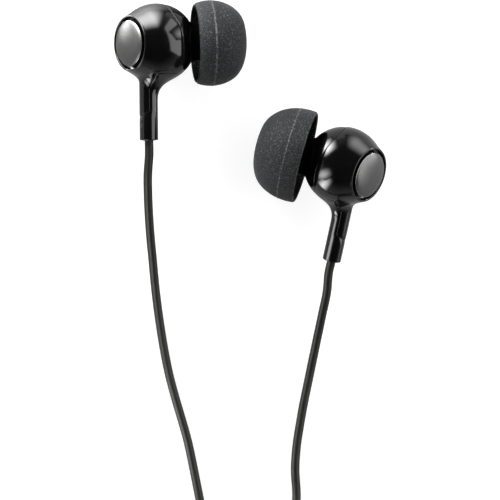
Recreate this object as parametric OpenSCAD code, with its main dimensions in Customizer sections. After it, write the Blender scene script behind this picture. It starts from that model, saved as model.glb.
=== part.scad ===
// Wired in-ear earphones: two ball-shaped earpieces with silicone tips, their branch cords,
// the Y-split, the main cord and a 3.5 mm stereo plug, laid out flat on a table at Z = 0.
// Each earpiece is drawn about the centre of its ball: the nozzle points along +X, the stem
// along -Z, and the rear cap looks back and towards -Y. The right one is the mirror image.

/* [Housing] */
// Radius of the ball
ball_r = 6; // [5.9:0.1:6.6]
// Wall of the two moulded housings
shell_wall = 0.85; // [0.7:0.05:0.9]
// Outer radius of the rim round the rear opening
rim_r = 4.5; // [4.25:0.05:4.6]
// Distance from the ball's centre to the rim's plane
rim_height = 4.9; // [4.5:0.1:4.9]
// Angle between the rear opening and the nozzle's axis, seen from above
cap_turn = 28.6; // [20:0.1:32]
// Angle by which the rear opening looks down
cap_drop = 0; // [0:0.1:6]
// Gap of the moulded seam between the two housings
seam_gap = 0.06; // [0.03:0.01:0.12]
// Distance from the ball's centre to the furthest point of the upper seam
seam_x = 3.5; // [3.5:0.1:3.8]
// Radius of the curved upper seam
seam_r = 11; // [9:0.5:14]
// Depth below the ball's centre of the lower seam
seam_low = 4.75; // [4.6:0.05:4.9]

/* [Rear cap] */
// Radius of the opening that the cap sits in
opening_r = 4; // [3.8:0.01:4]
// Width of the open groove round the cap
cap_groove = 0.54; // [0.4:0.02:0.7]
// Depth of the recess below the rim
recess = 0.8; // [0.6:0.05:1]
// Thickness of the ledge that the cap is glued to
ledge = 0.6; // [0.4:0.05:0.8]
// Radius of the hole through the ledge
ledge_hole_r = 2.6; // [2:0.1:2.8]
// Height of the cap's domed top
cap_dome = 1; // [0.8:0.1:2.4]
// Height of the cap's edge above the rim
cap_proud = 0.1; // [0:0.05:0.3]
// Thickness of the cap
cap_wall = 0.6; // [0.4:0.05:0.8]

/* [Stem] */
// Radius of the stem
stem_r = 1.4; // [1.35:0.05:1.7]
// Distance from the ball's centre to the end of the stem
stem_length = 14.7; // [13:0.1:18]
// Distance of the stem's axis behind the ball's centre
stem_offset = 1.3; // [1:0.1:1.6]
// Angle by which the stem leans back
stem_lean = 1.4; // [0:0.1:3]
// Height of the flare where the stem joins the ball
flare_height = 3.8; // [3:0.1:4.2]
// Extra radius at the top of the flare
flare_width = 1; // [0.5:0.05:1.1]
// Angle by which the flare leans from the stem towards the front
flare_lean = 7; // [4:0.5:10]
// Radius of the raised dots that tell left from right
side_dot_r = 0.32; // [0.25:0.01:0.4]
// Distance between the two dots
side_dot_pitch = 1.1; // [0.9:0.1:1.6]
// Radius of the chamber for the cord clamp
clamp_r = 0.95; // [0.9:0.05:1]
// Length of the cord clamp
clamp_length = 2; // [1.5:0.1:2.5]
// Outer radius of the bushing round the cord
bushing_r = 1.05; // [0.95:0.05:1.1]
// Length of the bushing inside the stem
bushing_length = 1.8; // [1.2:0.1:2.5]
// Length of the bushing that stands out of the stem
bushing_proud = 0.25; // [0.1:0.05:0.6]

/* [Nozzle] */
// Distance from the ball's centre to the nozzle's mouth
nozzle_end = 11.6; // [11:0.1:12]
// Radius of the nozzle's lip, which holds the tip
nozzle_lip_r = 2.3; // [2.2:0.05:2.4]
// Length of the nozzle's lip
nozzle_lip = 1; // [0.8:0.1:1.4]
// Radius of the nozzle between collar and lip
nozzle_waist_r = 2.05; // [1.95:0.05:2.1]
// Radius of the sound bore
nozzle_bore_r = 1.5; // [1.3:0.05:1.55]
// Radius of the collar at the nozzle's root
collar_r = 2.8; // [2.6:0.1:3]
// Distance from the ball's centre to the collar's face
collar_x = 7; // [6.8:0.1:7.4]
// Thickness of the metal mesh in the mouth
mesh_thickness = 0.15; // [0.1:0.05:0.3]
// Thickness of the foam damper behind the mesh
damper_length = 1.2; // [0.6:0.1:2]

/* [Ear tips] */
// Distance from the ball's centre to the open rim of a tip
tip_x = 5.9; // [5.8:0.1:6.2]
// Length of a tip
tip_length = 7.9; // [7.6:0.1:8.6]
// Largest radius of the left tip
left_tip_r = 6.5; // [6:0.1:7]
// Radius of the left tip's rim
left_tip_rim_r = 6.05; // [5.6:0.05:7]
// Distance from the left tip's rim to its largest radius
left_tip_belly = 2.3; // [1:0.1:3]
// Largest radius of the right tip, whose skirt has spread
right_tip_r = 7.15; // [6:0.05:7.4]
// Radius of the right tip's rim
right_tip_rim_r = 7.05; // [5.6:0.05:7.4]
// Distance from the right tip's rim to its largest radius
right_tip_belly = 1.2; // [1:0.1:3]
// Thickness of the tip's skirt
skirt = 0.55; // [0.4:0.05:0.8]
// Wall of the tip's inner sleeve
sleeve_wall = 0.6; // [0.5:0.05:0.8]
// Clearance between the nozzle's lip and the sleeve
tip_clearance = 0.05; // [0.02:0.01:0.1]
// Radius of the opening in the front of a tip
tip_mouth_r = 1.8; // [1.5:0.1:2]

/* [Driver] */
// Outer radius of the driver
driver_r = 4.4; // [4.2:0.05:4.5]
// Distance from the ball's centre to the front edge of the driver's frame
frame_front = 1.3; // [1.2:0.05:1.35]
// Depth of the driver's frame
frame_depth = 2; // [1.9:0.05:2.1]
// Thickness of the driver's pressed front cover
cover_thickness = 0.15; // [0.1:0.05:0.2]
// Thickness of the foam gasket in front of the driver
gasket = 0.3; // [0.2:0.05:0.4]
// Outer radius of the steel yoke
yoke_r = 2.85; // [2.8:0.05:2.9]
// Wall of the steel yoke
yoke_wall = 0.45; // [0.4:0.01:0.46]
// Thickness of the yoke's floor
yoke_floor = 0.5; // [0.4:0.05:0.6]
// Height of the magnet
magnet_height = 1.05; // [0.9:0.05:1.1]
// Radius of the magnet
magnet_r = 1.7; // [1.5:0.05:1.8]
// Radius of the top plate
top_plate_r = 1.92; // [1.85:0.01:1.94]
// Thickness of the top plate
top_plate_height = 0.4; // [0.3:0.05:0.45]
// Inner radius of the voice coil
voice_coil_r = 2.08; // [2.05:0.01:2.1]
// Thickness of the voice coil
voice_coil_wall = 0.16; // [0.1:0.01:0.18]
// Height of the voice coil
voice_coil_height = 1.25; // [1:0.05:1.3]
// Height of the diaphragm's dome
dome_height = 0.5; // [0.3:0.05:0.55]
// Thickness of the diaphragm
film = 0.07; // [0.05:0.01:0.1]
// Width of the terminal board
board_width = 3.4; // [2.8:0.1:3.8]
// Thickness of the terminal board
board_thickness = 0.25; // [0.2:0.05:0.3]

/* [Cords] */
// Diameter of a branch cord
branch_d = 1.33; // [1.2:0.01:1.4]
// Diameter of the main cord
main_d = 1.8; // [1.7:0.05:1.9]
// Open space between neighbouring turns of a coil
turn_gap = 0.5; // [0.45:0.01:0.6]
// Mean radius of the left branch's coil
left_coil_r = 7.95; // [7.6:0.05:8.2]
// Mean radius of the right branch's coil
right_coil_r = 8.45; // [8.1:0.05:8.7]
// Mean radius of the main coil
main_coil_r = 10.8; // [10.6:0.05:11]
// Thickness of the ties round the coils
tie_thickness = 0.3; // [0.2:0.05:0.4]
// Width of the ties
tie_width = 2.4; // [1.5:0.1:3]

/* [Y-split] */
// Length of the Y-split
split_length = 12; // [10:0.5:12]
// Radius of the Y-split at the branches
split_r = 2.4; // [2.35:0.05:2.6]
// Radius of the Y-split at the main cord
split_end_r = 1.7; // [1.5:0.05:2]
// Distance between the two branches at the Y-split
split_pitch = 2.3; // [2:0.05:2.4]

/* [Plug] */
// Radius of the plug's shaft
shaft_r = 1.75; // [1.75:0.01:1.75]
// Length of the plug's shaft
shaft_length = 14; // [14:0.1:14]
// Radius of the grip
grip_r = 2.75; // [2.5:0.05:3]
// Length of the grip
grip_length = 12.5; // [11:0.1:14]
// Length of the strain relief behind the grip
relief_length = 6; // [5:0.1:7]
// Radius of the strain relief at the grip
relief_r = 1.9; // [1.7:0.05:2.2]

/* [Layout] */
// Distance of the left ball's centre left of the origin
left_x = 14.09; // [13:0.01:15]
// Distance of the left ball's centre above the origin
left_y = 13.29; // [12:0.01:15]
// Distance of the right ball's centre right of the origin
right_x = 14.25; // [13:0.01:15]
// Distance of the right ball's centre below the origin
right_y = 5.36; // [4:0.01:7]

/* [Hidden] */
$fn = 64;

gloss_black = "#17181a";
silicone_grey = "#35373a";
cord_black = "#2b2b29";
steel = "#a9adb0";
nickel = "#c8c4ba";
copper = "#b56a3a";
film_amber = "#c9a968";
foam_grey = "#55585b";
paper_white = "#dedbd0";
board_green = "#2f6b45";
frame_grey = "#4a4d50";
gold = "#cfae5e";

cavity_r = ball_r - shell_wall;
ledge_top = rim_height - recess;
cap_r = opening_r - cap_groove;
cap_edge = rim_height + cap_proud;
rim_distance = norm([rim_r, rim_height]);

// The cone up to the rim leaves the ball a few degrees short of its tangent.
cone_kink = 8;
cone_angle = atan2(rim_r, rim_height) + acos(ball_r / rim_distance) - cone_kink;
cone_r = ball_r * sin(cone_angle);
cone_h = ball_r * cos(cone_angle);
far = 40;

// How each earpiece lies: turns about X, Y and Z, in degrees
left_turn = [-90, 8.4, 2];
right_turn = [-75, -5.7, -15.1];
left_dip = sin(left_turn[1]);
right_dip = -sin(right_turn[1]);

function turned(v, a) =
    let (
        p = [v[0], v[1] * cos(a[0]) - v[2] * sin(a[0]), v[1] * sin(a[0]) + v[2] * cos(a[0])],
        q = [p[0] * cos(a[1]) + p[2] * sin(a[1]), p[1], p[2] * cos(a[1]) - p[0] * sin(a[1])]
    )
    [q[0] * cos(a[2]) - q[1] * sin(a[2]), q[0] * sin(a[2]) + q[1] * cos(a[2]), q[2]];

function unit(v) = v / norm(v);
function ease(t) = let (c = min(1, max(0, t))) c * c * (3 - 2 * c);

// ---------------------------------------------------------------- axes of an earpiece

module about_nozzle() {
    rotate([0, 90, 0]) children();
}

module about_cap() {
    rotate([0, 90 + cap_drop, 180 + cap_turn]) children();
}

module about_stem() {
    rotate([0, stem_lean, 0]) translate([-stem_offset, 0, 0]) children();
}

module ring(inner_r, outer_r, low, high) {
    rotate_extrude() translate([inner_r, low]) square([outer_r - inner_r, high - low]);
}

// ---------------------------------------------------------------- ear tip

tip_bore_r = nozzle_lip_r + tip_clearance;
sleeve_r = tip_bore_r + sleeve_wall;
sleeve_start = collar_x - tip_x + 0.1;
tip_step = nozzle_end - tip_x + 0.15;
mouth_lip = 0.5;
tip_steps = 9;

// The skirt curls in a little at the rim, and the front closes as a blunt dome.
function skirt_point(u, top_r, rim, belly, wall) =
    [top_r - wall - (top_r - rim) * pow(1 - u / belly, 2), u];
function dome_point(a, top_r, belly, wall) = [
    (top_r - wall) * pow(cos(a), 2 / 3),
    belly + (tip_length - belly - wall) * sin(a)
];
function dome_angle(r, top_r, wall) = acos(pow(r / (top_r - wall), 1.5));

function tip_outline(top_r, rim, belly) = let (
    outer_end = dome_angle(tip_mouth_r + mouth_lip, top_r, 0),
    inner_end = dome_angle(sleeve_r, top_r, skirt)
) concat(
    [for (i = [0 : 3]) skirt_point(belly * i / 4, top_r, rim, belly, 0)],
    [for (i = [0 : tip_steps]) dome_point(outer_end * i / tip_steps, top_r, belly, 0)],
    [
        [tip_mouth_r, tip_length - mouth_lip / 2], [tip_mouth_r, tip_step],
        [tip_bore_r, tip_step], [tip_bore_r, sleeve_start], [sleeve_r, sleeve_start]
    ],
    [for (i = [tip_steps : -1 : 0]) dome_point(inner_end * i / tip_steps, top_r, belly, skirt)],
    [for (i = [3 : -1 : 0]) skirt_point(belly * i / 4, top_r, rim, belly, skirt)]
);

module eartip(top_r, rim, belly) {
    color(silicone_grey) about_nozzle() translate([0, 0, tip_x])
        rotate_extrude() polygon(tip_outline(top_r, rim, belly));
}

// How far the lowest point of a tip lies below the ball's centre
function tip_reach(top_r, rim, belly, dip) = max([
    for (p = tip_outline(top_r, rim, belly)) (tip_x + p[1]) * dip + p[0] * sqrt(1 - dip * dip)
]);

left_z = tip_reach(left_tip_r, left_tip_rim_r, left_tip_belly, left_dip);
right_z = tip_reach(right_tip_r, right_tip_rim_r, right_tip_belly, right_dip);
left_place = [-left_x, left_y, left_z];
right_place = [right_x, -right_y, right_z];

// ---------------------------------------------------------------- housings

module ball_outline() {
    intersection() {
        circle(r = ball_r);
        translate([0, -far]) square([far, far + cone_h]);
    }
    polygon([[0, cone_h], [cone_r, cone_h], [rim_r, rim_height], [0, rim_height]]);
}

module cavity_outline() {
    intersection() {
        circle(r = cavity_r);
        translate([0, -far]) square([far, far + ledge_top - ledge]);
    }
    translate([0, ledge_top - ledge - 1]) square([ledge_hole_r, ledge + 2]);
    translate([0, ledge_top]) square([opening_r, far]);
}

flare_steps = 8;
flare_power = 3;
flare_bottom = ball_r + 2.6;

module flare() {
    translate([0, 0, -flare_bottom]) rotate([0, flare_lean, 0]) rotate_extrude() polygon(concat(
        [[0, 0]],
        [for (i = [0 : flare_steps]) let (t = i / flare_steps)
            [stem_r + flare_width * pow(t, flare_power), flare_height * t]],
        [[0, flare_height]]
    ));
}

chamber_low = flare_bottom;
cord_bore_r = branch_d / 2 + 0.08;

module stem_bores() {
    about_stem() {
        translate([0, 0, -stem_length - 1])
            cylinder(r = cord_bore_r, h = stem_length - cavity_r + 2);
        translate([0, 0, -chamber_low]) cylinder(r = clamp_r, h = clamp_length + 0.1);
        translate([0, 0, -stem_length - 1]) cylinder(r = bushing_r, h = bushing_length + 1);
    }
}

module shell() {
    difference() {
        union() {
            about_cap() rotate_extrude() ball_outline();
            about_stem() translate([0, 0, -stem_length])
                cylinder(r = stem_r, h = stem_length - cavity_r / 2);
            about_stem() flare();
        }
        about_cap() rotate_extrude() cavity_outline();
        stem_bores();
    }
}

// The rear housing holds the ball behind the curved seam and the back half of the stem. The
// lower seam runs forward from the stem and then steps down along it.
seam_kink = 1;
seam_drop = 1;
function stem_axis_x(z) = -stem_offset / cos(stem_lean) + z * tan(stem_lean);

module across() {
    rotate([90, 0, 0]) linear_extrude(height = far, center = true) children();
}

// The two seams' outlines, moved by a share of the gap towards the rear or the front
module upper_seam(shift) {
    translate([seam_x - seam_r, -seam_drop]) circle(r = seam_r + shift);
}

function lower_seam(shift) = [
    [stem_axis_x(-seam_low) + seam_kink + shift, -seam_low - shift],
    [stem_axis_x(-seam_low - seam_kink * 2) + shift, -seam_low - seam_kink * 2],
    [stem_axis_x(-far) + shift, -far]
];

dot_depth = 0.2;
dot_turn = 205;
dot_rise = bushing_length + 0.4;

module side_dots() {
    about_stem() for (i = [0, 1])
        rotate([0, 0, dot_turn])
            translate([stem_r - dot_depth, 0, side_dot_pitch * i + dot_rise - stem_length])
                sphere(r = side_dot_r);
}

module rear_housing() {
    color(gloss_black) {
        difference() {
            shell();
            across() difference() {
                translate([-far, -seam_low - 1]) square(2 * far);
                upper_seam(-seam_gap / 2);
            }
            across() polygon(concat(
                [[far, seam_gap / 2 - seam_low]], lower_seam(-seam_gap / 2), [[far, -far]]
            ));
        }
        side_dots();
    }
}

seat_x = frame_front + cover_thickness + gasket;
seat_r = 3.72;
seat_wall = 0.55;
mesh_seat_r = nozzle_bore_r + 0.3;
mesh_seat = 0.35;
nozzle_root = ball_r - 1.2;
seat_root = ball_r - 1.6;
lip_ramp = 0.25;

module nozzle_outline() {
    polygon([
        [0, nozzle_root], [collar_r, nozzle_root], [collar_r, collar_x],
        [nozzle_waist_r, collar_x], [nozzle_waist_r, nozzle_end - nozzle_lip - lip_ramp],
        [nozzle_lip_r, nozzle_end - nozzle_lip], [nozzle_lip_r, nozzle_end - lip_ramp],
        [nozzle_lip_r - lip_ramp, nozzle_end], [0, nozzle_end]
    ]);
}

module front_housing() {
    color(gloss_black) difference() {
        union() {
            difference() {
                shell();
                across() intersection() {
                    upper_seam(seam_gap / 2);
                    translate([-far, -seam_low - seam_gap / 2]) square(2 * far);
                }
                across() polygon(concat(
                    [[-far, 0], [stem_axis_x(-seam_low), 0]], lower_seam(seam_gap / 2), [[-far, -far]]
                ));
            }
            about_nozzle() rotate_extrude() nozzle_outline();
            about_nozzle() ring(seat_r - seat_wall, seat_r, seat_x, seat_root);
        }
        about_nozzle() cylinder(r = nozzle_bore_r, h = far);
        about_nozzle() translate([0, 0, nozzle_end - mesh_seat]) cylinder(r = mesh_seat_r, h = far);
    }
}

// ---------------------------------------------------------------- rear cap

cap_steps = 10;
function cap_arc(r, h) = [
    for (i = [0 : cap_steps]) let (a = 90 * i / cap_steps) [r * cos(a), cap_edge + h * sin(a)]
];
function reversed(list) = [for (i = [len(list) - 1 : -1 : 0]) list[i]];

module rear_cap() {
    color(gloss_black) about_cap() rotate_extrude() polygon(concat(
        [[cap_r - cap_wall, ledge_top], [cap_r, ledge_top]],
        cap_arc(cap_r, cap_dome),
        reversed(cap_arc(cap_r - cap_wall, cap_dome - cap_wall))
    ));
}

// ---------------------------------------------------------------- nozzle's mesh and damper

mesh_hole_r = 0.16;
mesh_pitch = 0.5;

module nozzle_mesh() {
    mesh_r = mesh_seat_r - 0.05;
    color(steel) about_nozzle() translate([0, 0, nozzle_end - mesh_seat]) difference() {
        cylinder(r = mesh_r, h = mesh_thickness);
        for (i = [-3 : 3], j = [-3 : 3])
            let (x = (i + j / 2) * mesh_pitch, y = j * mesh_pitch * sin(60))
            if (norm([x, y]) < nozzle_bore_r - mesh_hole_r)
                translate([x, y, -1]) cylinder(r = mesh_hole_r, h = 2);
    }
}

module damper() {
    color(foam_grey) about_nozzle() translate([0, 0, nozzle_end - mesh_seat - damper_length])
        cylinder(r = nozzle_bore_r - 0.02, h = damper_length);
}

// ---------------------------------------------------------------- driver

frame_back = frame_front - frame_depth;
frame_wall = 0.4;
frame_floor = 0.4;
surround_seat = frame_front - 0.8;
yoke_front = frame_front - 1.2;
yoke_gap_r = yoke_r - yoke_wall;
yoke_back = yoke_front - 0.05 - top_plate_height - magnet_height - yoke_floor;
vent_count = 6;

module driver_frame() {
    socket_r = yoke_r + 0.02;
    color(frame_grey) about_nozzle() difference() {
        rotate_extrude() polygon([
            [socket_r, frame_back], [driver_r, frame_back], [driver_r, frame_front],
            [driver_r - frame_wall, frame_front], [driver_r - frame_wall, surround_seat],
            [driver_r - frame_wall - 0.25, surround_seat],
            [driver_r - frame_wall - 0.25, frame_back + frame_floor],
            [socket_r + 0.3, frame_back + frame_floor], [socket_r + 0.3, yoke_front],
            [socket_r, yoke_front]
        ]);
        for (i = [0 : vent_count - 1]) rotate([0, 0, 360 / vent_count * i])
            translate([(socket_r + 0.3 + driver_r - frame_wall - 0.25) / 2, 0, frame_back - 1])
                cylinder(r = 0.18, h = 3);
    }
}

module yoke() {
    color(steel) about_nozzle() difference() {
        translate([0, 0, yoke_back]) cylinder(r = yoke_r, h = yoke_front - yoke_back);
        translate([0, 0, yoke_back + yoke_floor]) cylinder(r = yoke_gap_r, h = far);
        translate([0, 0, yoke_back - 1]) cylinder(r = 0.4, h = far);
    }
}

module magnet() {
    color(nickel) about_nozzle() ring(0.4, magnet_r, yoke_back + yoke_floor,
        yoke_back + yoke_floor + magnet_height);
}

module top_plate() {
    low = yoke_back + yoke_floor + magnet_height;
    color(steel) about_nozzle() ring(0.4, top_plate_r, low, low + top_plate_height);
}

coil_top = surround_seat - 0.05;

module voice_coil() {
    color(copper) about_nozzle() ring(voice_coil_r, voice_coil_r + voice_coil_wall,
        coil_top - voice_coil_height, coil_top);
}

dome_rim = voice_coil_r + voice_coil_wall + 0.22;
dome_steps = 8;
function dome_arc(r, h, low) = [
    for (i = [0 : dome_steps]) let (t = i / dome_steps) [r * (1 - t), low + h * (1 - pow(1 - t, 2))]
];

module diaphragm() {
    color(film_amber) about_nozzle() rotate_extrude() polygon(concat(
        [[voice_coil_r - 0.05, coil_top], [dome_rim, coil_top], [dome_rim, coil_top + film]],
        dome_arc(voice_coil_r, dome_height, coil_top + film),
        reversed(dome_arc(voice_coil_r - 0.05, dome_height, coil_top))
    ));
}

surround_inner = dome_rim + 0.05;
surround_outer = driver_r - frame_wall;
surround_roll = 0.35;
function roll_arc(lift) = [
    for (i = [0 : dome_steps]) let (
        t = i / dome_steps,
        from = surround_inner + 0.1,
        to = surround_outer - 0.3
    ) [from + (to - from) * t, surround_seat + lift + surround_roll * sin(180 * t)]
];

module surround() {
    color(film_amber) about_nozzle() rotate_extrude() polygon(concat(
        [[surround_inner, surround_seat], [surround_inner, surround_seat + film]],
        roll_arc(film),
        [[surround_outer, surround_seat + film], [surround_outer, surround_seat]],
        reversed(roll_arc(0))
    ));
}

cover_hole_r = 0.35;
cover_hole_circle = 1.9;

module driver_cover() {
    color(steel) about_nozzle() difference() {
        translate([0, 0, frame_front]) cylinder(r = driver_r, h = cover_thickness);
        translate([0, 0, frame_front - 1]) cylinder(r = cover_hole_r, h = 3);
        for (i = [0 : 7]) rotate([0, 0, 45 * i])
            translate([cover_hole_circle, 0, frame_front - 1]) cylinder(r = cover_hole_r, h = 3);
    }
}

module driver_gasket() {
    color(foam_grey) about_nozzle() ring(seat_r - seat_wall - 0.05, seat_r + 0.4,
        frame_front + cover_thickness, seat_x);
}

module vent_paper() {
    color(paper_white) about_nozzle() ring(yoke_r + 0.25, driver_r - 0.2, frame_back - 0.1, frame_back);
}

board_height = 1.8;
board_drop = 0.7;
pad_r = 0.34;

module terminal_board() {
    color(board_green)
        translate([yoke_back - board_thickness, -board_width / 2, -board_drop - board_height / 2])
            cube([board_thickness, board_width, board_height]);
    color(nickel) for (side = [-1, 1])
        translate([yoke_back - pad_r - 0.01, side * board_width * 0.3, -board_drop])
            sphere(r = pad_r);
}

// ---------------------------------------------------------------- cord outlet

clamp_bore_r = branch_d / 2 + 0.02;
cord_top = chamber_low - clamp_length - 0.2;

module cord_clamp() {
    color(nickel) about_stem() translate([0, 0, -chamber_low])
        ring(clamp_bore_r, clamp_r - 0.04, 0, clamp_length);
}

module inner_cord() {
    color(cord_black) about_stem() translate([0, 0, -stem_length - bushing_proud])
        cylinder(r = branch_d / 2, h = stem_length + bushing_proud - cord_top);
}

module bushing() {
    color(cord_black) about_stem() translate([0, 0, -stem_length - bushing_proud]) rotate_extrude()
        polygon([
            [clamp_bore_r, 0], [bushing_r - 0.2, 0], [bushing_r - 0.02, bushing_proud],
            [bushing_r - 0.02, bushing_proud + bushing_length - 0.02],
            [clamp_bore_r, bushing_proud + bushing_length - 0.02]
        ]);
}

function on_stem(z) = [-stem_offset * cos(stem_lean) + z * sin(stem_lean), 0,
    z * cos(stem_lean) + stem_offset * sin(stem_lean)];

wire_r = 0.11;

module wires() {
    pad = [yoke_back - 2 * pad_r - 0.01, board_width * 0.3, -board_drop];
    color(copper) for (side = [-1, 1]) tube([
        [pad[0], side * pad[1], pad[2]],
        [pad[0] - 0.2, side * pad[1], pad[2]],
        [pad[0] - 0.3, side * pad[1] * 0.9, pad[2] - 0.5],
        [pad[0] - 0.2, side * 0.8, -2],
        [pad[0], side * 0.6, -3],
        [pad[0] + 0.2, side * 0.35, -4],
        [on_stem(-5)[0], side * 0.25, -4.9],
        on_stem(-cord_top) + [0, side * 0.25, 0]
    ], 2 * wire_r, 6, [0, 1, 0]);
}

// ---------------------------------------------------------------- tubes and coils

// A tube of flat-sided rings along the points. A flat side faces away from the reference
// direction, which the tube itself never runs along.
function tube_along(points, i) = let (last = len(points) - 1)
    unit(points[min(i + 1, last)] - points[max(i - 1, 0)]);

function tube_points(points, d, sides, ref) = [
    for (i = [0 : len(points) - 1]) let (
        along = tube_along(points, i),
        side = unit(cross(ref, along)),
        up = cross(along, side)
    ) for (k = [0 : sides - 1]) let (a = (k + 0.5) * 360 / sides - 90)
        points[i] + d / 2 * (cos(a) * side + sin(a) * up)
];

function tube_faces(rings, sides) = concat(
    [for (i = [0 : rings - 2], k = [0 : sides - 1])
        let (a = i * sides + k, b = i * sides + (k + 1) % sides) each [
            [a, a + sides, b], [b, a + sides, b + sides]
        ]],
    [for (k = [1 : sides - 2]) [0, k, k + 1]],
    [for (k = [1 : sides - 2]) let (e = (rings - 1) * sides) [e, e + k + 1, e + k]]
);

module tube(points, d, sides, ref = [0, 0, 1]) {
    polyhedron(tube_points(points, d, sides, ref), tube_faces(len(points), sides));
}

// A coil spirals in on the lower layer and out again on the upper one. It climbs over
// half a turn in the middle. Its two ends run straight for one diameter.
turn_rings = 24;

// A coil is written as [centre, mean radius, cord diameter, turns, start angle, sense].
function c_centre(c) = c[0];
function c_radius(c) = c[1];
function c_d(c) = c[2];
function c_turns(c) = c[3];
function c_start(c) = c[4];
function c_sense(c) = c[5];
function c_step(c) = c_d(c) + turn_gap;

tie_clearance = 0.05;

function coil_radius(c, t) = c_radius(c) + c_step(c) * (abs(t - c_turns(c) / 2) - c_turns(c) / 4);
function coil_point(c, t) = let (angle = c_start(c) + c_sense(c) * 360 * t) c_centre(c) + [
    coil_radius(c, t) * cos(angle),
    coil_radius(c, t) * sin(angle),
    c_d(c) / 2 + tie_thickness + tie_clearance + c_step(c) * ease((t - c_turns(c) / 2) * 2 + 0.5)
];

function coil_entry(c) = unit(coil_point(c, 0.001) - coil_point(c, 0));
function coil_exit(c) = unit(coil_point(c, c_turns(c)) - coil_point(c, c_turns(c) - 0.001));
function coil_start(c) = coil_point(c, 0) - coil_entry(c) * c_d(c);
function coil_end(c) = coil_point(c, c_turns(c)) + coil_exit(c) * c_d(c);
function lead_in(c) = coil_start(c) - coil_entry(c) * c_d(c);
function lead_out(c) = coil_end(c) + coil_exit(c) * c_d(c);
function coil_rings(c) = ceil(c_turns(c) * turn_rings);
function coil_path(c) = concat(
    [coil_start(c)],
    [for (i = [0 : coil_rings(c)]) coil_point(c, c_turns(c) * i / coil_rings(c))],
    [coil_end(c)]
);

function least_gap(path, d, skip) = min([
    for (i = [0 : len(path) - 1 - skip], j = [i + skip : len(path) - 1]) norm(path[i] - path[j])
]) - d;
function run(path) = let (steps = [for (i = [1 : len(path) - 1]) norm(path[i] - path[i - 1])])
    steps * [for (step = steps) 1];

left_coil_path = [[-11.9, -69.6, 0], left_coil_r, branch_d, 6.12, 48, -1];
right_coil_path = [[12.3, -70, 0], right_coil_r, branch_d, 6.12, 132, 1];
main_coil_path = [[-0.5, -119, 0], main_coil_r, main_d, 11.2, 108, 1];

// ---------------------------------------------------------------- routes of the cords

exit_z = -stem_length - bushing_proud;
left_exit = left_place + turned(on_stem(exit_z), left_turn);
right_exit = right_place + turned(mirrored(on_stem(exit_z)), right_turn);
function mirrored(v) = [-v[0], v[1], v[2]];
left_heading = turned(on_stem(-1) - on_stem(0), left_turn);
right_heading = turned(mirrored(on_stem(-1) - on_stem(0)), right_turn);

left_route = concat(
    [left_exit, left_exit + left_heading * 2],
    [
        [-15.4, -6.6, 7.6], [-15.4, -9.6, 6.8], [-15.3, -12.6, 5.6], [-15.1, -16, 4.2],
        [-14.8, -19.4, 2.9], [-14.5, -23, 1.8], [-14.1, -26.6, 1.1], [-13.6, -30.2, 0.8],
        [-13, -33.8, 0.7], [-12.3, -37.2, 0.7], [-11.4, -40.6, 0.7], [-10.4, -44, 0.7],
        [-9.5, -47.2, 0.7], [-8.8, -50.4, 0.7], [-8.2, -53.4, 0.7], [-7.6, -56.4, 0.8],
        [-7.2, -58.4, 0.9]
    ],
    [lead_in(left_coil_path), coil_start(left_coil_path)]
);
right_route = concat(
    [right_exit, right_exit + right_heading * 2],
    [
        [11.8, -24.6, 2.9], [11.1, -28, 2.1], [10.4, -31.4, 1.4], [9.7, -34.8, 0.9],
        [9, -38.2, 0.7], [8.3, -41.6, 0.7], [7.7, -45, 0.7], [7.2, -48.4, 0.7],
        [7, -51.8, 0.7], [7.2, -55.2, 0.7], [7.1, -57.8, 0.9]
    ],
    [lead_in(right_coil_path), coil_start(right_coil_path)]
);

split_z = split_r;
split_top = -84;
left_lead_route = [
    coil_end(left_coil_path), lead_out(left_coil_path), [-1, -74.2, 2.8], [-1.1, -77.4, 2.6],
    [-1.15, -80.5, 2.4],
    [-split_pitch / 2, split_top + 1.4, split_z], [-split_pitch / 2, split_top, split_z]
];
right_lead_route = [
    coil_end(right_coil_path), lead_out(right_coil_path), [0.9, -74.4, 2.8], [1.1, -77.4, 2.6],
    [1.15, -80.5, 2.4],
    [split_pitch / 2, split_top + 1.4, split_z], [split_pitch / 2, split_top, split_z]
];
main_route = [
    [0, split_top - split_length, split_z], [0, split_top - split_length - main_d, split_z],
    [-0.1, -99.4, 2], [-1, -100.8, 1.5], lead_in(main_coil_path), coil_start(main_coil_path)
];

plug_start = [-11.5, -142, grip_r];
plug_lead_route = [
    coil_end(main_coil_path), lead_out(main_coil_path), [-17.9, -126, 3.4], [-17.9, -129.6, 3.2],
    [-17.9, -133.4, 3],
    [-17.9, -137.4, 2.9], [-17.3, -139.7, 2.8], [-15.6, -141.4, 2.8],
    plug_start - [main_d, 0, 0], plug_start
];

module left_cord() { color(cord_black) tube(left_route, branch_d, 8); }
module right_cord() { color(cord_black) tube(right_route, branch_d, 8); }
module left_lead() { color(cord_black) tube(left_lead_route, branch_d, 8); }
module right_lead() { color(cord_black) tube(right_lead_route, branch_d, 8); }
module main_cord() { color(cord_black) tube(main_route, main_d, 8); }
module plug_lead() { color(cord_black) tube(plug_lead_route, main_d, 8); }
module left_coil() { color(cord_black) tube(coil_path(left_coil_path), branch_d, 6); }
module right_coil() { color(cord_black) tube(coil_path(right_coil_path), branch_d, 6); }
module main_coil() { color(cord_black) tube(coil_path(main_coil_path), main_d, 6); }

half_turn = turn_rings / 2;
echo(least_gap_mm = [
    for (c = [left_coil_path, right_coil_path, main_coil_path])
        least_gap(coil_path(c), c_d(c), half_turn)
]);
echo(
    left_branch_mm = run(left_route) + run(coil_path(left_coil_path)) + run(left_lead_route),
    right_branch_mm = run(right_route) + run(coil_path(right_coil_path)) + run(right_lead_route),
    main_cord_mm = run(main_route) + run(coil_path(main_coil_path)) + run(plug_lead_route)
);

// ---------------------------------------------------------------- ties round the coils

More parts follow.
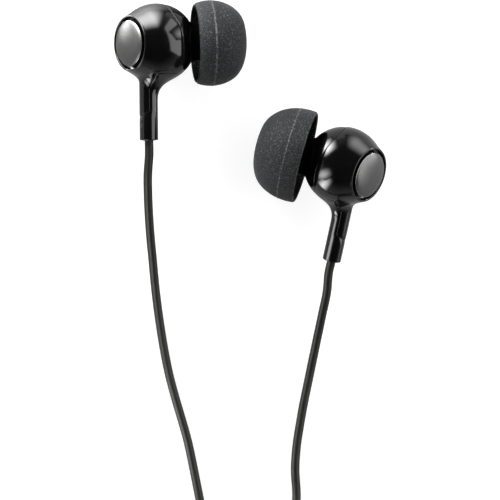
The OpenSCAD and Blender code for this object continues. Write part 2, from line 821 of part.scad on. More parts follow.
// A tie is a flat band round the turns at one angle of the coil.
module tie(c, angle) {
    half = c_step(c) * c_turns(c) / 4 + c_d(c) / 2 + 2 * tie_clearance;
    inside = c_step(c) + c_d(c) + 3 * tie_clearance;
    translate(c_centre(c)) rotate([0, 0, angle]) translate([c_radius(c), tie_width / 2, 0])
        rotate([90, 0, 0]) linear_extrude(height = tie_width) difference() {
            translate([-half - tie_thickness, 0])
                square([2 * (half + tie_thickness), inside + 2 * tie_thickness]);
            translate([-half, tie_thickness]) square([2 * half, inside]);
        }
}

module coil_ties() {
    color(paper_white) {
        tie(left_coil_path, 270);
        tie(right_coil_path, 270);
        tie(main_coil_path, 0);
    }
}

// ---------------------------------------------------------------- Y-split

module y_split() {
    edge = 0.6;
    color(gloss_black) translate([0, split_top, split_z]) rotate([90, 0, 0]) rotate_extrude()
        polygon([
            [0, 0], [split_r - edge, 0], [split_r - edge * 0.3, edge * 0.3], [split_r, edge],
            [split_r, split_length * 0.35], [split_end_r, split_length - edge],
            [split_end_r - edge * 0.3, split_length - edge * 0.3],
            [split_end_r - edge, split_length], [0, split_length]
        ]);
}

// ---------------------------------------------------------------- plug

rod_r = 0.55;
rod_gap = 0.02;
core_r = 0.8;
rod_depth = 2;
sleeve_length = 7.6;
insulator_length = 0.7;
ring_length = 2;
ring_start = sleeve_length + insulator_length;
ring_end = ring_start + ring_length;
tip_start = ring_end + insulator_length;

module at_plug(offset) {
    translate(plug_start + [offset, 0, 0]) rotate([0, 90, 0]) children();
}

relief_ribs = 4;

module plug_relief() {
    start_r = main_d / 2 + 0.35;
    rib = relief_length / relief_ribs;
    color(cord_black) at_plug(0) rotate_extrude() polygon(concat(
        [[0, 0]],
        [for (i = [0 : relief_ribs - 1]) let (
            r = start_r + (relief_r - start_r) * i / (relief_ribs - 1)
        ) each [[r, rib * i], [r, rib * (i + 0.6)], [r - 0.25, rib * (i + 0.7)],
            [r - 0.25, rib * (i + 0.95)]]],
        [[relief_r - 0.25, relief_length], [0, relief_length]]
    ));
}

module plug_grip() {
    color(gloss_black) at_plug(relief_length) difference() {
        rotate_extrude() polygon([
            [0, 0], [grip_r - 0.6, 0], [grip_r, 0.8], [grip_r, grip_length - 0.4],
            [grip_r - 0.4, grip_length], [0, grip_length]
        ]);
        translate([0, 0, grip_length - rod_depth - 0.1]) cylinder(r = rod_r + rod_gap, h = far);
    }
}

module plug_sleeve() {
    color(nickel) at_plug(relief_length + grip_length)
        ring(core_r + rod_gap, shaft_r, 0, sleeve_length);
}

module plug_ring() {
    color(nickel) at_plug(relief_length + grip_length)
        ring(core_r + rod_gap, shaft_r, ring_start, ring_end);
}

module plug_insulators() {
    color("#1d1d1f") at_plug(relief_length + grip_length) {
        ring(rod_r + rod_gap, core_r, 0, ring_end);
        ring(rod_r + rod_gap, shaft_r, sleeve_length, ring_start);
        ring(rod_r + rod_gap, shaft_r, ring_end, tip_start);
    }
}

module plug_tip() {
    color(nickel) at_plug(relief_length + grip_length) rotate_extrude() polygon([
        [0, -rod_depth], [rod_r, -rod_depth], [rod_r, tip_start], [shaft_r, tip_start],
        [shaft_r - 0.6, tip_start + 0.6], [shaft_r - 0.6, tip_start + 0.8],
        [shaft_r - 0.1, tip_start + 1.5], [shaft_r - 0.25, tip_start + 2],
        [shaft_r - 0.85, shaft_length - 0.25], [shaft_r - 1.35, shaft_length], [0, shaft_length]
    ]);
}

// ---------------------------------------------------------------- the pieces in place

module left_side() {
    translate(left_place) rotate(left_turn) children();
}

module right_side() {
    translate(right_place) rotate(right_turn) mirror([1, 0, 0]) children();
}

module left_eartip() { left_side() eartip(left_tip_r, left_tip_rim_r, left_tip_belly); }
module right_eartip() { right_side() eartip(right_tip_r, right_tip_rim_r, right_tip_belly); }

left_eartip();
left_side() front_housing();  // left_front_housing
left_side() rear_housing();  // left_rear_housing
left_side() rear_cap();  // left_rear_cap
left_side() nozzle_mesh();  // left_nozzle_mesh
left_side() damper();  // left_damper
left_side() driver_gasket();  // left_gasket
left_side() driver_cover();  // left_driver_cover
left_side() diaphragm();  // left_diaphragm
left_side() surround();  // left_surround
left_side() voice_coil();  // left_voice_coil
left_side() top_plate();  // left_top_plate
left_side() magnet();  // left_magnet
left_side() yoke();  // left_yoke
left_side() driver_frame();  // left_driver_frame
left_side() vent_paper();  // left_vent_paper
left_side() terminal_board();  // left_terminal_board
left_side() wires();  // left_wires
left_side() cord_clamp();  // left_cord_clamp
left_side() inner_cord();  // left_inner_cord
left_side() bushing();  // left_bushing
right_eartip();
right_side() front_housing();  // right_front_housing
right_side() rear_housing();  // right_rear_housing
right_side() rear_cap();  // right_rear_cap
right_side() nozzle_mesh();  // right_nozzle_mesh
right_side() damper();  // right_damper
right_side() driver_gasket();  // right_gasket
right_side() driver_cover();  // right_driver_cover
right_side() diaphragm();  // right_diaphragm
right_side() surround();  // right_surround
right_side() voice_coil();  // right_voice_coil
right_side() top_plate();  // right_top_plate
right_side() magnet();  // right_magnet
right_side() yoke();  // right_yoke
right_side() driver_frame();  // right_driver_frame
right_side() vent_paper();  // right_vent_paper
right_side() terminal_board();  // right_terminal_board
right_side() wires();  // right_wires
right_side() cord_clamp();  // right_cord_clamp
right_side() inner_cord();  // right_inner_cord
right_side() bushing();  // right_bushing
left_cord();
left_coil();
left_lead();
right_cord();
right_coil();
right_lead();
y_split();
main_cord();
main_coil();
plug_lead();
coil_ties();
plug_relief();
plug_grip();
plug_sleeve();
plug_ring();
plug_tip();
plug_insulators();
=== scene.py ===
import math
import bpy
import numpy as np
from mathutils import Euler, Matrix, Vector


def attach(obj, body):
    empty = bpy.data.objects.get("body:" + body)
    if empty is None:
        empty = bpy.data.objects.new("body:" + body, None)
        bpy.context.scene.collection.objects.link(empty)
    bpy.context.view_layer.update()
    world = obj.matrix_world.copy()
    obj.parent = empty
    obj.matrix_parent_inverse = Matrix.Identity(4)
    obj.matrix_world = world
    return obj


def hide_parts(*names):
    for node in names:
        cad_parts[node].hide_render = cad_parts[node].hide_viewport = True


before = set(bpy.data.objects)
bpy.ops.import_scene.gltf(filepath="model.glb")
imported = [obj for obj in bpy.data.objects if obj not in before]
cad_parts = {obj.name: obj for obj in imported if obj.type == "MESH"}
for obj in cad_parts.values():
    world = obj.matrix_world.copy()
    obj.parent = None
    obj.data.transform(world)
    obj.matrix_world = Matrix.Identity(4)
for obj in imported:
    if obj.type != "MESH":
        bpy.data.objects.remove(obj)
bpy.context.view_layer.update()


# ---- Camera, table and light
# The earphones lie on a white table and are seen from straight above, through a long lens. The
# table keeps a soft shadow; soft boxes stand low round it, and the room above is dark.

MM = 0.001
PIXELS_PER_MM = 6.6
IMAGE_SIZE = 500
VIEW_CENTRE = (0.08 * MM, -18.06 * MM)
EARPIECE_HEIGHT = 7.7 * MM
CAMERA_HEIGHT = 0.6

camera_data = bpy.data.cameras.new("camera")
camera_data.lens = camera_data.sensor_width * CAMERA_HEIGHT / (IMAGE_SIZE / PIXELS_PER_MM * MM)
camera = bpy.data.objects.new("camera", camera_data)
camera.location = (*VIEW_CENTRE, CAMERA_HEIGHT + EARPIECE_HEIGHT)
bpy.context.scene.collection.objects.link(camera)
bpy.context.scene.camera = camera
bpy.context.scene.view_settings.view_transform = "Standard"


def linear(colour):
    """An sRGB hex colour as linear RGBA."""
    parts = [int(colour[i:i + 2], 16) / 255 for i in (1, 3, 5)]
    return (*(p / 12.92 if p <= 0.04045 else ((p + 0.055) / 1.055) ** 2.4 for p in parts), 1)


def add(tree, kind, settings=None, **links):
    """Adds a shader node. A link sets an input, by its name or _number, to a value, to an output
    of another node, or to another node's first output."""
    node = tree.nodes.new("ShaderNode" + kind)
    for name, value in (settings or {}).items():
        setattr(node, name, value)
    for name, value in links.items():
        key = int(name[1:]) if name[1:].isdigit() else name.replace("_", " ")
        if isinstance(value, bpy.types.Node):
            value = value.outputs[0]
        if isinstance(value, bpy.types.NodeSocket):
            tree.links.new(value, node.inputs[key])
        else:
            node.inputs[key].default_value = value
    return node


def material(name):
    """A new material, its tree of nodes, and the place on the piece that its patterns follow."""
    made = bpy.data.materials.new(name)
    made.use_nodes = True
    made.node_tree.nodes.clear()
    return made, made.node_tree, add(made.node_tree, "TexCoord").outputs["Object"]


def mesh_object(name, vertices, faces, sharp_angle=None):
    """A smooth-shaded mesh object; edges sharper than the angle, in degrees, stay crisp."""
    mesh = bpy.data.meshes.new(name)
    mesh.from_pydata([tuple(v) for v in vertices], [], [tuple(f) for f in faces])
    mesh.update()
    mesh.shade_smooth()
    if sharp_angle:
        mesh.set_sharp_from_angle(angle=math.radians(sharp_angle))
    made = bpy.data.objects.new(name, mesh)
    bpy.context.scene.collection.objects.link(made)
    return made


TABLE_RADIUS = 3.2
TABLE_SIDES = 64
table = mesh_object("table", [
    (TABLE_RADIUS * math.cos(a), TABLE_RADIUS * math.sin(a), 0)
    for a in np.linspace(0, 2 * math.pi, TABLE_SIDES, endpoint=False)
], [range(TABLE_SIDES)])

# matte white paper: it shows white to the camera and keeps the shadow that falls on it
table_paper, tree, _ = material("table_paper")
light_path = add(tree, "LightPath").outputs
mirrored = add(tree, "Math", {"operation": "MULTIPLY"}, _0=light_path["Is Glossy Ray"], _1=0.3)
seen = add(tree, "Math", {"operation": "MAXIMUM"}, _0=light_path["Is Camera Ray"],
           _1=light_path["Is Transmission Ray"])
seen = add(tree, "Math", {"operation": "MAXIMUM"}, _0=seen, _1=mirrored)
glow = add(tree, "Math", {"operation": "MULTIPLY"}, _0=seen, _1=0.86)
paper = add(tree, "BsdfDiffuse", Color=linear("#a8a8a8"))
glow = add(tree, "Emission", Color=linear("#ffffff"), Strength=glow)
paper = add(tree, "AddShader", _0=paper, _1=glow)
add(tree, "OutputMaterial", Surface=paper)
table.data.materials.append(table_paper)

# the room is dim and darkens overhead
room = bpy.data.worlds.new("room")
room.use_nodes = True
tree = room.node_tree
tree.nodes.clear()
direction = add(tree, "TexCoord").outputs["Generated"]
height = add(tree, "SeparateXYZ", _0=direction).outputs["Z"]
dimming = add(tree, "MapRange", {"interpolation_type": "SMOOTHSTEP"}, Value=height, From_Min=0.0,
              From_Max=0.6, To_Min=0.4, To_Max=0.04)
walls = add(tree, "Background", Color=linear("#e8ebee"), Strength=dimming)
add(tree, "OutputWorld", Surface=walls)
bpy.context.scene.world = room


def soft_box(name, place, size, strength, edge, facing=None, lights=True, mirrored=True):
    """A glowing panel, in millimetres. Edge is the part of each half over which it fades.

    One that doesn't light is only seen in the glossy skins; one that isn't mirrored only lights.
    """
    place = Vector(place) * MM
    outward = Vector(facing) if facing else place - Vector((*VIEW_CENTRE, EARPIECE_HEIGHT))
    panel = mesh_object(name, [(-1, -1, 0), (1, -1, 0), (1, 1, 0), (-1, 1, 0)], [(0, 1, 2, 3)])
    panel.matrix_world = (
        Matrix.Translation(place) @ outward.to_track_quat("Z", "Y").to_matrix().to_4x4()
        @ Matrix.Diagonal((size[0] / 2 * MM, size[1] / 2 * MM, 1, 1))
    )
    cloth, tree, spot = material(name)
    spot = add(tree, "SeparateXYZ", _0=spot)
    power = strength
    for axis in (0, 1):
        away = add(tree, "Math", {"operation": "ABSOLUTE"}, _0=spot.outputs[axis])
        level = add(tree, "MapRange", {"interpolation_type": "SMOOTHSTEP"}, Value=away,
                    From_Min=1.0, From_Max=1.0 - edge[axis], To_Min=0.0, To_Max=1.0)
        power = add(tree, "Math", {"operation": "MULTIPLY"}, _0=power, _1=level)
    glow = add(tree, "Emission", Strength=power)
    add(tree, "OutputMaterial", Surface=glow)
    panel.data.materials.append(cloth)
    panel.visible_camera = False
    panel.visible_shadow = False
    panel.visible_diffuse = lights
    panel.visible_glossy = mirrored


# the lamps light the earphones, and the last two show in the glossy skins as well
soft_box("upper_left_soft_box", (-320, 385, 150), (640, 480), 20, (1.0, 1.0), mirrored=False)
soft_box("overhead_soft_box", (-300, 600, 1000), (900, 600), 1.0, (0.5, 0.5), mirrored=False)
soft_box("left_fill", (-480, -20, 130), (520, 330), 0.9, (0.9, 0.8))
soft_box("right_soft_box", (480, 138, 280), (1040, 800), 2.8, (0.05, 0.25), (0.96, 0.28, 0))

# diffusers stand round the earphones and light tables lie beside them, only to be mirrored
for name, place, size, strength, edge, facing in (
    ("near_diffuser", (-28, 38, 25), (60, 66), 24, (1.0, 1.0), (-0.5, 0.86, 0)),
    ("lower_left_diffuser", (-38, -53, 15), (38, 110), 14, (1.0, 1.0), (-1, -0.9, 0)),
    ("left_diffuser", (-45, -30, 36), (40, 84), 9, (1.0, 1.0), (-1, -0.26, 0.4)),
    ("upper_left_light_table", (-30, 52, 0.6), (54, 74), 5, (0.8, 0.8), (0, 0, 1)),
    ("left_light_table", (-43, 26, 0.6), (30, 26), 26, (0.8, 0.9), (0, 0, 1)),
    ("right_diffuser", (33, 30, 20), (38, 56), 4, (1.0, 1.0), (0.5, 0.87, 0)),
    ("right_light_table", (84, 20, 0.6), (60, 80), 18, (0.8, 0.8), (0, 0, 1)),
):
    soft_box(name, place, size, strength, edge, facing, lights=False)


# ---- Cords
# Two thin branch cords join at the Y-split into a thicker main cord that ends in the plug. The
# jacket is extruded TPE with a satin skin; the spare length is wound into flat coils.

BRANCH_D = 1.33 * MM
MAIN_D = 1.8 * MM
TURN_GAP = 0.5 * MM
COIL_REST = 0.35 * MM
COIL_POINTS = 36
CLIMB_TURNS = 0.5


def unit(v):
    return v / np.linalg.norm(v)


def coil_point(coil, t):
    """The point after t turns: in along the lower layer and out along the upper one."""
    centre, radius, d, turns, start, sense = coil
    step = d + TURN_GAP
    angle = math.radians(start + sense * 360 * t)
    r = radius + step * (abs(t - turns / 2) - turns / 4)
    climb = min(1, max(0, (t - turns / 2) / CLIMB_TURNS + 0.5))
    height = d / 2 + COIL_REST + step * climb * climb * (3 - 2 * climb)
    return np.array(centre) + (r * math.cos(angle), r * math.sin(angle), height)


def coil_path(coil):
    """The coil's points, with two more on the tangent at either end."""
    d, turns, nudge = coil[2], coil[3], 0.001
    count = math.ceil(turns * COIL_POINTS)
    points = [coil_point(coil, turns * i / count) for i in range(count + 1)]
    into = unit(coil_point(coil, nudge) - points[0])
    out = unit(points[-1] - coil_point(coil, turns - nudge))
    lead_in = [points[0] - into * d * k for k in (2, 1)]
    lead_out = [points[-1] + out * d * k for k in (1, 2)]
    return lead_in + points + lead_out


def smooth_line(points, steps=6):
    """A Catmull-Rom curve through the points."""
    points = [np.array(p, float) for p in points]
    ends = [2 * points[0] - points[1], *points, 2 * points[-1] - points[-2]]
    line = []
    for a, b, c, d in zip(ends, ends[1:], ends[2:], ends[3:]):
        for i in range(steps):
            t = i / steps
            line.append(0.5 * (2 * b + (c - a) * t + (2 * a - 5 * b + 4 * c - d) * t * t
                               + (3 * b - a - 3 * c + d) * t ** 3))
    return line + [points[-1]]


LEFT_EXIT = (-0.0152155, -0.0016722, 0.0079455)
RIGHT_EXIT = (0.0124669, -0.0197996, 0.0041901)
# centre, radius at the middle of the turns, cord's diameter, turns, starting angle and sense
left_coil = ((-0.0119, -0.0696, 0), 7.95 * MM, BRANCH_D, 6.12, 48, -1)
right_coil = ((0.0123, -0.07, 0), 8.45 * MM, BRANCH_D, 6.12, 132, 1)
main_coil = ((-0.0005, -0.119, 0), 10.8 * MM, MAIN_D, 11.2, 108, 1)

left_route = [
    LEFT_EXIT, (-0.015194, -0.003672, 0.007953),
    (-0.0154, -0.0066, 0.0076), (-0.0154, -0.0096, 0.0068), (-0.0153, -0.0126, 0.0056),
    (-0.0151, -0.016, 0.0042), (-0.0148, -0.0194, 0.0029), (-0.0145, -0.023, 0.0018),
    (-0.0141, -0.0266, 0.0011), (-0.0136, -0.0302, 0.0008), (-0.013, -0.0338, 0.0007),
    (-0.0123, -0.0372, 0.0007), (-0.0114, -0.0406, 0.0007), (-0.0104, -0.044, 0.0007),
    (-0.0095, -0.0472, 0.0007), (-0.0088, -0.0504, 0.0007), (-0.0082, -0.0534, 0.0007),
    (-0.0076, -0.0564, 0.0008), (-0.0072, -0.0584, 0.0009),
]
right_route = [
    RIGHT_EXIT, (0.01206, -0.02169, 0.00368),
    (0.0118, -0.0246, 0.0029), (0.0111, -0.028, 0.0021), (0.0104, -0.0314, 0.0014),
    (0.0097, -0.0348, 0.0009), (0.009, -0.0382, 0.0007), (0.0083, -0.0416, 0.0007),
    (0.0077, -0.045, 0.0007), (0.0072, -0.0484, 0.0007), (0.007, -0.0518, 0.0007),
    (0.0072, -0.0552, 0.0007), (0.0071, -0.0578, 0.0009),
]
left_lead = [
    (-0.001, -0.0742, 0.0028), (-0.0011, -0.0774, 0.0026), (-0.00115, -0.0805, 0.0024),
    (-0.00115, -0.0826, 0.0024), (-0.00115, -0.084, 0.0024),
]
right_lead = [
    (0.0009, -0.0744, 0.0028), (0.0011, -0.0774, 0.0026), (0.00115, -0.0805, 0.0024),
    (0.00115, -0.0826, 0.0024), (0.00115, -0.084, 0.0024),
]
SPLIT_EXIT = (0, -0.096, 0.0024)
main_route = [
    SPLIT_EXIT, (0, -0.0978, 0.0024), (-0.0001, -0.0994, 0.002), (-0.001, -0.1008, 0.0015),
]
plug_lead = [
    (-0.0179, -0.126, 0.0034), (-0.0179, -0.1296, 0.0032), (-0.0179, -0.1334, 0.003),
    (-0.0179, -0.1374, 0.0029), (-0.0173, -0.1397, 0.0028), (-0.0156, -0.1414, 0.0028),
    (-0.0133, -0.142, 0.00275), (-0.0115, -0.142, 0.00275),
]


def cord_curve(name, before, coil, after):
    """One cord as a curve along its free route, its coil and its lead, and its length."""
    path = smooth_line([*before, coil_path(coil)[0]])[:-1] + coil_path(coil)[1:-1]
    path += smooth_line([coil_path(coil)[-1], *after])
    data = bpy.data.curves.new(name, "CURVE")
    data.dimensions = "3D"
    spline = data.splines.new("POLY")
    spline.points.add(len(path) - 1)
    for point, place in zip(spline.points, path):
        point.co = (*place, 1)
    data.bevel_depth = coil[2] / 2
    data.bevel_resolution = 5
    data.use_fill_caps = True
    made = bpy.data.objects.new(name, data)
    bpy.context.scene.collection.objects.link(made)
    made.data.materials.append(cord_jacket)
    return made, float(sum(np.linalg.norm(b - a) for a, b in zip(path, path[1:])))


# extruded TPE: a satin skin with faint lengthwise drag marks and a fine pebble of 0.15 mm
cord_jacket, tree, spot = material("extruded_tpe_jacket")
pebble = add(tree, "TexNoise", Vector=spot, Scale=1 / (0.15 * MM), Detail=3)
shade = add(tree, "TexNoise", Vector=spot, Scale=1 / (4 * MM), Detail=2)
colour = add(tree, "Mix", {"data_type": "RGBA"}, Factor=shade, _6=linear("#1a1a17"),
             _7=linear("#262622"))
rough = add(tree, "MapRange", Value=pebble, To_Min=0.34, To_Max=0.5)
bump = add(tree, "Bump", Strength=0.12, Distance=0.02 * MM, Height=pebble)
skin = add(tree, "BsdfPrincipled", Base_Color=colour.outputs[2], Roughness=rough, IOR=1.5,
           Specular_IOR_Level=0.25, Normal=bump)
add(tree, "OutputMaterial", Surface=skin)

left_cord, left_length = cord_curve("left_branch_cord", left_route, left_coil, left_lead)
right_cord, right_length = cord_curve("right_branch_cord", right_route, right_coil, right_lead)
main_cord, main_length = cord_curve("main_cord_run", main_route, main_coil, plug_lead)
for piece, nodes in (
    (left_cord, ("left_cord", "left_coil", "left_lead")),
    (right_cord, ("right_cord", "right_coil", "right_lead")),
    (main_cord, ("main_cord", "main_coil", "plug_lead")),
):
    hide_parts(*nodes)
    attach(piece, "earphones")


# ---- Stem bushings
# A soft grommet holds the cord where it leaves the stem and takes its bending. It is moulded
# from matte black TPE and pressed into the stem's end.

earpieces = ("left", "right")
STEM_R = 1.4
STEM_END = 14.7
STEM_SHIFT = -1.3
STEM_TILT = 1.4
BUSHING_R = 1.03
BUSHING_BORE_R = 0.72
BUSHING_LOW = -STEM_END - 0.06
BUSHING_TOP = -STEM_END + 1.8


def turn(x, y, z):
    """A rotation round X, then Y, then Z, in degrees."""
    return Euler([math.radians(a) for a in (x, y, z)]).to_matrix()


# Each earpiece is made in millimetres, round the centre of its ball: +X along the nozzle, -Z
# down the stem. The right one is the mirror image of the left one.
placement = {
    "left": Matrix.Translation((-14.09, 13.29, 7.702)) @ turn(-90, 8.4, 2).to_4x4(),
    "right": Matrix.Translation((14.25, -5.36, 7.866)) @ turn(-75, -5.7, -15.1).to_4x4()
    @ Matrix.Diagonal((-1, 1, 1, 1)),
}
# pieces that are turned about Z are laid along the nozzle or the stem
about_nozzle = np.array(turn(0, 90, 0))
about_stem = np.array(turn(0, STEM_TILT, 0))
stem_foot = about_stem @ (STEM_SHIFT, 0, 0)


def rounded(corners, steps=4):
    """A profile of (radius, height) points, with an arc at each corner that states a fillet."""
    profile = []
    for i, corner in enumerate(corners):
        point = np.array(corner[:2], float)
        if len(corner) == 2:
            profile.append(point)
            continue
        before = np.array(corners[i - 1][:2], float) - point
        after = np.array(corners[(i + 1) % len(corners)][:2], float) - point
        a, b = unit(before) * corner[2], unit(after) * corner[2]
        for t in np.linspace(0, 1, steps + 1):
            profile.append(point + a * (1 - t) ** 2 + b * t ** 2)
    return profile


def lathe(profile, segments, closed=True):
    """Vertices and faces of a profile turned round Z."""
    angles = np.linspace(0, 2 * math.pi, segments, endpoint=False)
    vertices, rows, faces = [], [], []
    for r, z in profile:
        if r < 1e-6:
            rows.append([len(vertices)] * segments)
            vertices.append((0, 0, z))
        else:
            rows.append(list(range(len(vertices), len(vertices) + segments)))
            vertices += [(r * math.cos(a), r * math.sin(a), z) for a in angles]
    pairs = list(zip(rows, rows[1:])) + ([(rows[-1], rows[0])] if closed else [])
    for low, high in pairs:
        for i in range(segments):
            j = (i + 1) % segments
            ring = list(dict.fromkeys((low[i], low[j], high[j], high[i])))
            if len(ring) > 2:
                faces.append(ring)
    return np.array(vertices), faces


def placed_object(name, place, parts, finish, sharp_angle=None):
    """One object from parts, each its vertices in the millimetres of its place and its faces."""
    matrix = np.array(placement[place])
    vertices, faces = [], []
    for points, polygons in parts:
        start = sum(len(v) for v in vertices)
        vertices.append((np.asarray(points) @ matrix[:3, :3].T + matrix[:3, 3]) * MM)
        order = -1 if place == "right" else 1
        faces += [[start + i for i in polygon[::order]] for polygon in polygons]
    made = mesh_object(name, np.concatenate(vertices), faces, sharp_angle)
    made.data.materials.append(finish)
    return made


def patterned_skin(tree, pattern, colours, roughness, relief=None, **sockets):
    """Ends a material whose colour, roughness and relief all follow one pattern.

    It runs between two colours, and between two roughnesses or at one; relief is the bump's
    strength and its depth in millimetres.
    """
    colour = add(tree, "Mix", {"data_type": "RGBA"}, Factor=pattern, _6=linear(colours[0]),
                 _7=linear(colours[1]))
    if isinstance(roughness, tuple):
        roughness = add(tree, "MapRange", Value=pattern, To_Min=roughness[0], To_Max=roughness[1])
    if relief:
        sockets["Normal"] = add(tree, "Bump", Strength=relief[0], Distance=relief[1] * MM,
                                Height=pattern)
    skin = add(tree, "BsdfPrincipled", Base_Color=colour.outputs[2], Roughness=roughness, **sockets)
    add(tree, "OutputMaterial", Surface=skin)


# moulded TPE: matte, with a fine grain of 0.1 mm
soft_tpe, tree, spot = material("moulded_tpe")
grain = add(tree, "TexNoise", Vector=spot, Scale=1 / (0.1 * MM), Detail=2)
patterned_skin(tree, grain, ("#161616", "#242423"), 0.55, (0.2, 0.01), IOR=1.5)

for side in earpieces:
    sleeve, faces = lathe(rounded([
        (BUSHING_BORE_R, BUSHING_LOW, 0.06), (BUSHING_R, BUSHING_LOW, 0.12),
        (BUSHING_R, BUSHING_TOP, 0.1), (BUSHING_BORE_R, BUSHING_TOP, 0.05),
    ]), 48)
    bushing = placed_object(f"{side}_stem_bushing", side,
                            [(sleeve @ about_stem.T + stem_foot, faces)], soft_tpe, 40)
    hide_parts(f"{side}_bushing")
    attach(bushing, "earphones")


# ---- Ear tips
# The tips are moulded from matte grey-black silicone: a soft dome that seals the ear, turned
# back over an inner sleeve that grips the nozzle. A fine mould line runs round the dome.

TIP_START = 5.9
TIP_LENGTH = 7.7
SKIRT = 0.55
MOUTH_R = 1.8
MOUTH_FLOOR = 5.9
SLEEVE_FOOT = 1.2
SLEEVE_BORE_R = 2.35
SLEEVE_R = 2.95
MOULD_LINE = 2.5
FLASH_RISE = 0.04
# the skirt hangs down a little, all but the part that the nozzle holds
TIP_SAG = 0.22
SAG_FROM, SAG_OVER = 3.2, 2
# the widest radius, the radius at the skirt's lip, and how far from the lip it is widest
tip_sizes = {"left": (6.5, 6.05, 2.3), "right": (7.15, 7.05, 1.2)}


def skirt_profile(top_r, rim_r, belly, wall, steps=8):
    """The skirt from its lip to its widest place, or its inner face, a wall further in."""
    return [(top_r - wall - (top_r - rim_r) * (1 - i / steps) ** 2, belly * i / steps)
            for i in range(steps)]


def dome_profile(top_r, belly, wall, end_r, steps=40):
    """The dome from its widest place up to a radius, or its inner face, a wall further in."""
    end = math.acos(min(1, end_r / (top_r - wall)) ** 1.5)
    return [((top_r - wall) * math.cos(end * i / steps) ** (2 / 3),
             belly + (TIP_LENGTH - belly - wall) * math.sin(end * i / steps))
            for i in range(steps + 1)]


# silicone rubber from a bead-blasted mould: matte, with pale specks where the grain catches
# the light; the grain is drawn 0.22 mm wide so that it shows
silicone, tree, spot = material("moulded_silicone")
grain = add(tree, "TexNoise", Vector=spot, Scale=1 / (0.22 * MM), Detail=3, Roughness=0.7)
specks = add(tree, "MapRange", {"interpolation_type": "SMOOTHSTEP"}, Value=grain, From_Min=0.5,
             From_Max=0.72)
cloud = add(tree, "TexNoise", Vector=spot, Scale=1 / (5 * MM), Detail=2)
colour = add(tree, "Mix", {"data_type": "RGBA"}, Factor=cloud, _6=linear("#131516"),
             _7=linear("#1b1d1e"))
colour = add(tree, "Mix", {"data_type": "RGBA"}, Factor=specks, _6=colour.outputs[2],
             _7=linear("#595b5d"))
rough = add(tree, "MapRange", Value=grain, To_Min=0.62, To_Max=0.85)
bump = add(tree, "Bump", Strength=0.5, Distance=0.025 * MM, Height=grain)
skin = add(tree, "BsdfPrincipled", Base_Color=colour.outputs[2], Roughness=rough, IOR=1.42,
           Specular_IOR_Level=0.3, Sheen_Weight=0.06, Sheen_Roughness=0.5, Normal=bump)
add(tree, "OutputMaterial", Surface=skin)

# painted highlight on the mould line and the skirt's lip: the same silicone painted paler, as these
# fine edges look where they catch the light, in a broken line of dashes about 0.3 mm long
painted_highlight_silicone, tree, spot = material("silicone_painted_highlight")
dash = add(tree, "TexNoise", Vector=spot, Scale=1 / (0.3 * MM), Detail=1)
dash = add(tree, "MapRange", {"interpolation_type": "SMOOTHSTEP"}, Value=dash, From_Min=0.4,
           From_Max=0.6)
patterned_skin(tree, dash, ("#222425", "#5c5e5f"), 0.6, IOR=1.42)

for side in earpieces:
    top_r, rim_r, belly = tip_sizes[side]
    smooth = (skirt_profile(top_r, rim_r, belly, 0)[1:]
              + dome_profile(top_r, belly, 0, MOUTH_R + 0.5))
    outside = []
    for (r0, z0), (r1, z1) in zip(smooth, smooth[1:]):
        outside.append((r0, z0))
        if z0 < MOULD_LINE <= z1:
            r = r0 + (r1 - r0) * (MOULD_LINE - z0) / (z1 - z0)
            outside += [(r, MOULD_LINE - 0.1), (r + FLASH_RISE, MOULD_LINE - 0.03),
                        (r + FLASH_RISE, MOULD_LINE + 0.03), (r, MOULD_LINE + 0.1)]
    outside.append(smooth[-1])
    inside = (skirt_profile(top_r, rim_r, belly, SKIRT)[1:]
              + dome_profile(top_r, belly, SKIRT, SLEEVE_R + 0.1))
    profile = (
        rounded([(rim_r - SKIRT, 0, 0.24), (rim_r, 0, 0.24)])
        + outside
        + rounded([(MOUTH_R + 0.25, TIP_LENGTH, 0.2), (MOUTH_R, TIP_LENGTH - 0.2, 0.12),
                   (MOUTH_R, MOUTH_FLOOR, 0.1), (SLEEVE_BORE_R, MOUTH_FLOOR - 0.05),
                   (SLEEVE_BORE_R, SLEEVE_FOOT, 0.15), (SLEEVE_R, SLEEVE_FOOT, 0.15),
                   (SLEEVE_R, inside[-1][1] - 0.3)])
        + inside[::-1]
    )
    dome, faces = lathe(profile, 128)
    radius = np.hypot(dome[:, 0], dome[:, 1])
    # faces on the mould line and the skirt's lip, which take the paler silicone of the painted
    # highlight
    on_painted_highlight = []
    for ring in faces:
        r, z = radius[ring].mean(), dome[ring, 2].mean()
        on_painted_highlight.append((abs(z) < 0.12 and r > rim_r - 0.3)
                        or (abs(z - MOULD_LINE) < 0.11 and r > top_r - SKIRT * 0.6))
    dome[:, 0] += TIP_SAG * np.clip((radius - SAG_FROM) / SAG_OVER, 0, 1)
    dome[:, 2] += TIP_START
    tip = placed_object(f"{side}_silicone_tip", side, [(dome @ about_nozzle.T, faces)],
                        silicone, 50)
    tip.data.materials.append(painted_highlight_silicone)
    for polygon, highlit in zip(tip.data.polygons, on_painted_highlight):
        polygon.material_index = int(highlit)
    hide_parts(f"{side}_eartip")
    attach(tip, f"{side}_tip")


# ---- Housings
# Each ball is moulded in two halves from black ABS with a polished skin, and glued along a
# curved seam. The rear half flares into the stem and ends in a low collar round its opening.

BALL_R = 6
WALL = 0.35
EDGE_R = 0.04
OPENING_R = 3.95
RIM_R = 4.2
RIM_HEIGHT = 4.94
RIM_RISE = math.hypot(RIM_R, RIM_HEIGHT) - BALL_R
RIM_ANGLE = math.degrees(math.atan2(RIM_R, RIM_HEIGHT))
COLLAR_SPREAD = 20
# (width beyond the opening, height) from the collar's crest down its bore and round the ledge
LIP_PROFILE = (
    (0.29, 4.9), (0.23, 4.94), (0.12, 4.94), (0.04, 4.91), (0, 4.84), (0, 4.15), (-0.05, 4.1),
    (-1.2, 4.1), (-1.25, 4.05), (-1.25, 3.55), (-1.2, 3.5), (0.2, 3.5),
)

